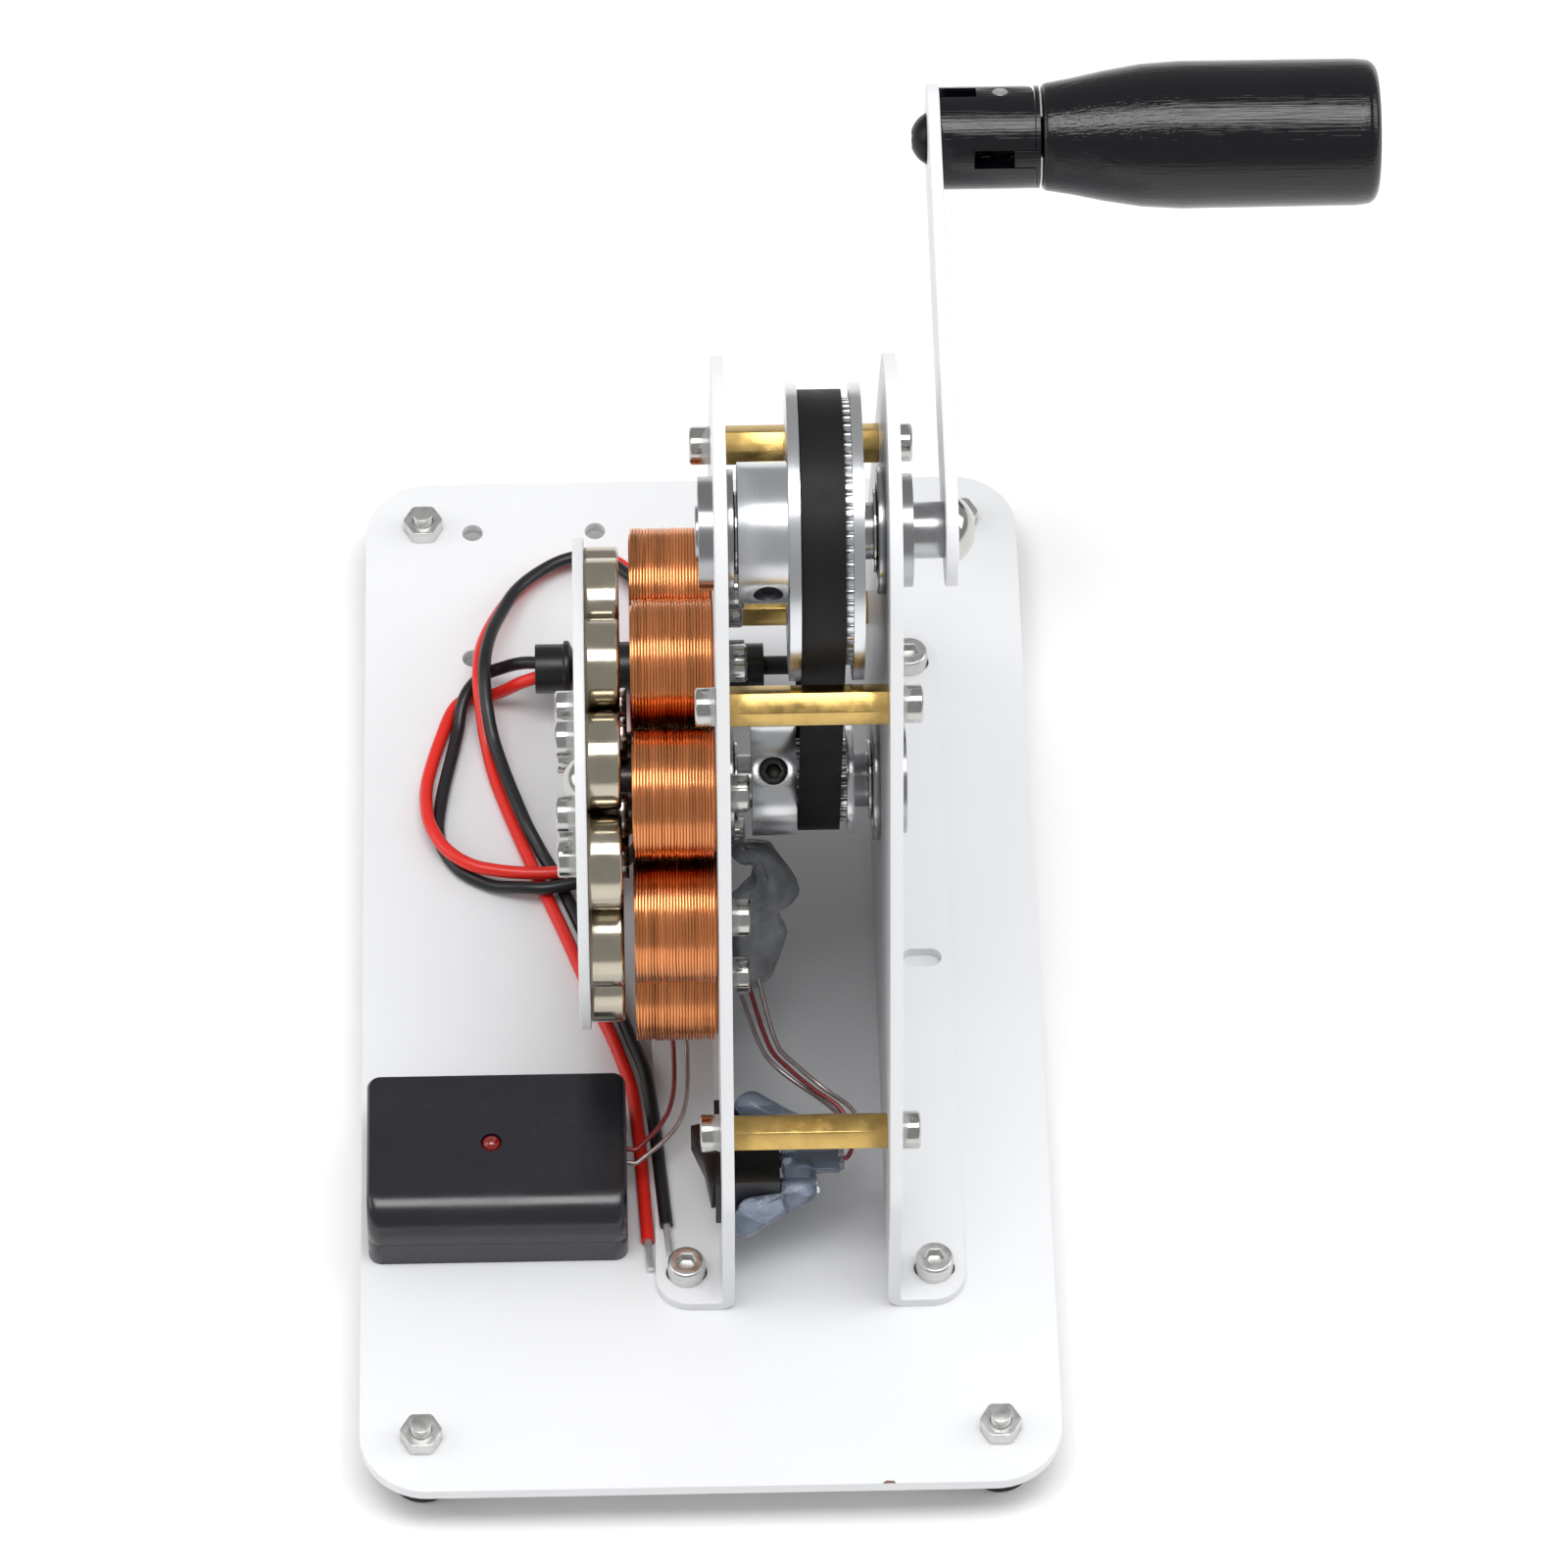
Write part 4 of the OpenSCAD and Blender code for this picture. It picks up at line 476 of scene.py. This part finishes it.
    # A flat oval wire
    turned = add_node(tree, "GeometryNodeSetCurveNormal", {
        "Curve": uneven.outputs["Geometry"], "Normal": kept.outputs["outward"]}, mode="FREE")
    round_wire = add_node(tree, "GeometryNodeCurvePrimitiveCircle", {
        "Resolution": WIRE_SIDES, "Radius": 1.0})
    flatness = add_node(tree, "ShaderNodeCombineXYZ", {
        "X": sizes["Wire Rise"], "Y": sizes["Wire Half Width"], "Z": 1.0})
    oval = add_node(tree, "GeometryNodeTransform", {
        "Geometry": round_wire.outputs["Curve"], "Scale": flatness.outputs["Vector"]})
    skin = add_node(tree, "GeometryNodeCurveToMesh", {
        "Curve": turned.outputs["Curve"], "Profile Curve": oval.outputs["Geometry"],
        "Fill Caps": True})
    real = add_node(tree, "GeometryNodeRealizeInstances", {"Geometry": skin.outputs["Mesh"]})
    coated = add_node(tree, "GeometryNodeSetMaterial", {
        "Geometry": real.outputs["Geometry"], "Material": material})
    out = tree.nodes.new("NodeGroupOutput")
    tree.links.new(coated.outputs["Geometry"], out.inputs["Geometry"])
    return tree


def coil_windings():
    """All windings as one plain mesh, taken from the evaluated node tree."""
    holder = bpy.data.objects.new("winding_holder", bpy.data.meshes.new("winding_holder"))
    bpy.context.scene.collection.objects.link(holder)
    tree = winding_tree(copper)
    modifier = holder.modifiers.new("winding", "NODES")
    modifier.node_group = tree
    sizes = {name: size * MM for name, size in WINDING_MM.items()}
    sizes["Coil Length"] = coil_high[0] - coil_low[0]
    end_room = sizes["Wire Half Width"] + sizes["Widest Sway"]
    sizes["Ring Place"] = (coil_low[0] + end_room, (shaft_low[1] + shaft_high[1]) / 2,
                           (shaft_low[2] + shaft_high[2]) / 2)
    sizes["Seed"] = WINDING_SEED
    for socket in tree.interface.items_tree:
        if socket.in_out == "INPUT" and socket.name in sizes:
            modifier[socket.identifier] = sizes[socket.name]
    depsgraph = bpy.context.evaluated_depsgraph_get()
    mesh = bpy.data.meshes.new_from_object(holder.evaluated_get(depsgraph))
    bpy.data.objects.remove(holder)
    mesh.name = "coil_windings_look"
    shape = bmesh.new()
    shape.from_mesh(mesh)
    bmesh.ops.recalc_face_normals(shape, faces=shape.faces)
    shape.to_mesh(mesh)
    shape.free()
    mesh.polygons.foreach_set("use_smooth", [True] * len(mesh.polygons))
    link("coil_windings_look", mesh, copper, "stand", ["coil_windings"])


coil_windings()


# Hard pieces: the node, its material and how far its edges are rounded in millimetres
hard_pieces = [
    ("base_plate", coat, 0.35), ("left_bracket", coat, 0.25), ("right_bracket", coat, 0.25),
    ("crank_arm", coat, 0.25), ("rotor_disc", coat, 0.25),
    ("rubber_feet", foot_rubber, 0.4), ("foot_screws", zinc, 0.15), ("foot_nuts", zinc, 0.12),
    ("bracket_screws", zinc, 0.15), ("bracket_nuts", nickel, 0.12), ("standoffs", brass, 0.12),
    ("standoff_screws", nickel, 0.18), ("drive_shaft", steel, 0.2), ("driven_shaft", steel, 0.2),
    ("drive_bearing_left", steel, 0.12), ("drive_bearing_right", steel, 0.12),
    ("driven_bearing_left", steel, 0.12), ("driven_bearing_right", steel, 0.12),
    ("drive_washers", nickel, 0.08), ("driven_washers", nickel, 0.08),
    ("drive_pulley", alloy, 0.1), ("driven_pulley", alloy, 0.1), ("drive_set_screws", dark_steel, 0.08),
    ("driven_set_screws", dark_steel, 0.08), ("timing_belt", belt_rubber, 0.08),
    ("rotor_magnets", magnet_skin, 0.2), ("rotor_hub", steel, 0.15), ("rotor_hub_screws", nickel, 0.18),
    ("rotor_hub_nuts", nickel, 0.12), ("rotor_hub_set_screw", dark_steel, 0.08),
    ("rotor_end_screw", nickel, 0.12), ("coil_poles", steel, 0.15), ("coil_cores", copper, 0.15),
    ("coil_screws", nickel, 0.18), ("crank_arm_screw", nickel, 0.12), ("handle_fork", gloss_black, 0.2),
    ("handle_screw", dark_steel, 0.12), ("handle_hinge_pin", zinc, 0.06),
    ("handle_knuckle", gloss_black, 0.06), ("handle_grip", gloss_black, 0.3), ("box_tray", box_black, 0.15),
    ("circuit_board", board_green, 0.1), ("box_lamp", lamp_red, 0.1), ("switch_body", fitting_black, 0.25),
    ("switch_rocker", fitting_black, 0.3), ("switch_terminals", tin, 0.08),
    ("switch_sleeves", fitting_black, 0.25), ("cable_gland", fitting_black, 0.2),
    ("gland_nut", fitting_black, 0.2), ("gland_sleeve", fitting_black, 0.2), ("box_cover", box_black, 0.15)]
flat_pieces = {"base_plate", "left_bracket", "right_bracket", "crank_arm", "rotor_disc", "box_tray",
               "box_cover"}
for node, material, width in hard_pieces:
    softened(node, material, width, level=node in flat_pieces)


GLUE_ROUNDING = 0.1
GLUE_ANGLE = 60
GLUE_CUTS = 2


def glue(node, material, sink_mm, wave_mm):
    """Hot glue: the CAD lump with a finer skin that sinks in by an uneven amount."""
    piece = softened(node, material, GLUE_ROUNDING, angle=GLUE_ANGLE)
    shape = bmesh.new()
    shape.from_mesh(piece.data)
    long_edges = [e for e in shape.edges if e.calc_length() > wave_mm * MM / 2]
    bmesh.ops.subdivide_edges(shape, edges=long_edges, cuts=GLUE_CUTS, use_grid_fill=True)
    bmesh.ops.triangulate(shape, faces=shape.faces)
    shape.normal_update()
    for vert in shape.verts:
        share = 0.5 + 0.5 * noise.noise(vert.co / (wave_mm * MM))
        vert.co -= vert.normal * sink_mm * MM * share
    shape.to_mesh(piece.data)
    shape.free()
    piece.data.polygons.foreach_set("use_smooth", [True] * len(piece.data.polygons))


glue("switch_glue", glue_blue, 0.5, 2.2)
glue("glue_lump", glue_grey, 0.9, 3.0)


# Chip in the coat on the front edge of the base plate
CHIP_PLACE = (76.6, 0.0, 0.0)
CHIP_SIZE = (2.4, 0.6, 0.34)
CHIP_LIFT = 0.015
CHIP_CORNERS = 14
CHIP_SEED = 7
CHIP_LEAST_REACH = 0.7


def paint_chip():
    """A ragged fleck, folded over the edge and just clear of the coat."""
    picks = random.Random(CHIP_SEED)
    rim = []
    for i in range(CHIP_CORNERS):
        a = math.tau * i / CHIP_CORNERS
        reach = picks.uniform(CHIP_LEAST_REACH, 1.0)
        rim.append((reach * math.cos(a), reach * math.sin(a)))
    verts = []
    for u, v in rim:
        back = max(v, 0) * CHIP_SIZE[1]
        drop = min(v, 0) * CHIP_SIZE[2]
        verts.append(place(CHIP_PLACE[0] + u * CHIP_SIZE[0] / 2, CHIP_PLACE[1] + back,
                           CHIP_PLACE[2] + drop + CHIP_LIFT * (v >= 0)))
    verts.append(place(CHIP_PLACE[0], CHIP_PLACE[1] + CHIP_LIFT, CHIP_PLACE[2] + CHIP_LIFT))
    mesh = bpy.data.meshes.new("paint_chip")
    faces = [(i, (i + 1) % CHIP_CORNERS, CHIP_CORNERS) for i in range(CHIP_CORNERS)]
    mesh.from_pydata([v[:] for v in verts], [], faces)
    link("paint_chip", mesh, chipped, "stand")


paint_chip()


# Stage, in metres and watts
FLOOR_REACH = 3.0
LAMP_AIM = (0, 0, 0.05)


def paper_floor(material):
    mesh = bpy.data.meshes.new("floor")
    corners = [(x * FLOOR_REACH, y * FLOOR_REACH, 0.0) for x, y in ((-1, -1), (1, -1), (1, 1), (-1, 1))]
    mesh.from_pydata(corners, [], [(0, 1, 2, 3)])
    mesh.materials.append(material)
    piece = bpy.data.objects.new("floor", mesh)
    bpy.context.scene.collection.objects.link(piece)


def soft_light(name, spot, width, height, watts):
    """A rectangular lamp that points at the object."""
    data = bpy.data.lights.new(name, "AREA")
    data.shape = "RECTANGLE"
    data.size = width
    data.size_y = height
    data.energy = watts
    lamp = bpy.data.objects.new(name, data)
    lamp.location = spot
    lamp.rotation_euler = (Vector(LAMP_AIM) - Vector(spot)).to_track_quat("-Z", "Y").to_euler()
    bpy.context.scene.collection.objects.link(lamp)


# Matt white paper under the object: takes the soft shadow and nothing else
paper = surface("matt_white_paper", "#FAFAFA", 0.9)
paper_floor(paper)
soft_light("top_light", (0.0, -0.2, 1.45), 1.3, 0.6, 14.2)
soft_light("left_light", (-1.3, 0.0, 0.8), 0.9, 0.9, 4.2)
soft_light("right_light", (1.3, 0.1, 0.9), 0.8, 0.9, 5.8)

# The backdrop shows white, lights the object more weakly, and shows weaker still in metal and gloss
BACKDROP_LIGHT = 0.5
MORE_FOR_RAY = (("Is Camera Ray", 0.5), ("Is Transmission Ray", 0.5), ("Is Glossy Ray", -0.12))
world = bpy.data.worlds.new("studio")
world.use_nodes = True
bpy.context.scene.world = world
world_tree = world.node_tree
paths = add_node(world_tree, "ShaderNodeLightPath")
strength = BACKDROP_LIGHT
for ray, more in MORE_FOR_RAY:
    step = add_node(world_tree, "ShaderNodeMath", {0: paths.outputs[ray], 1: more, 2: strength},
                    operation="MULTIPLY_ADD")
    strength = step.outputs["Value"]
background = world_tree.nodes["Background"]
background.inputs["Color"].default_value = (1, 1, 1, 1)
world_tree.links.new(strength, background.inputs["Strength"])
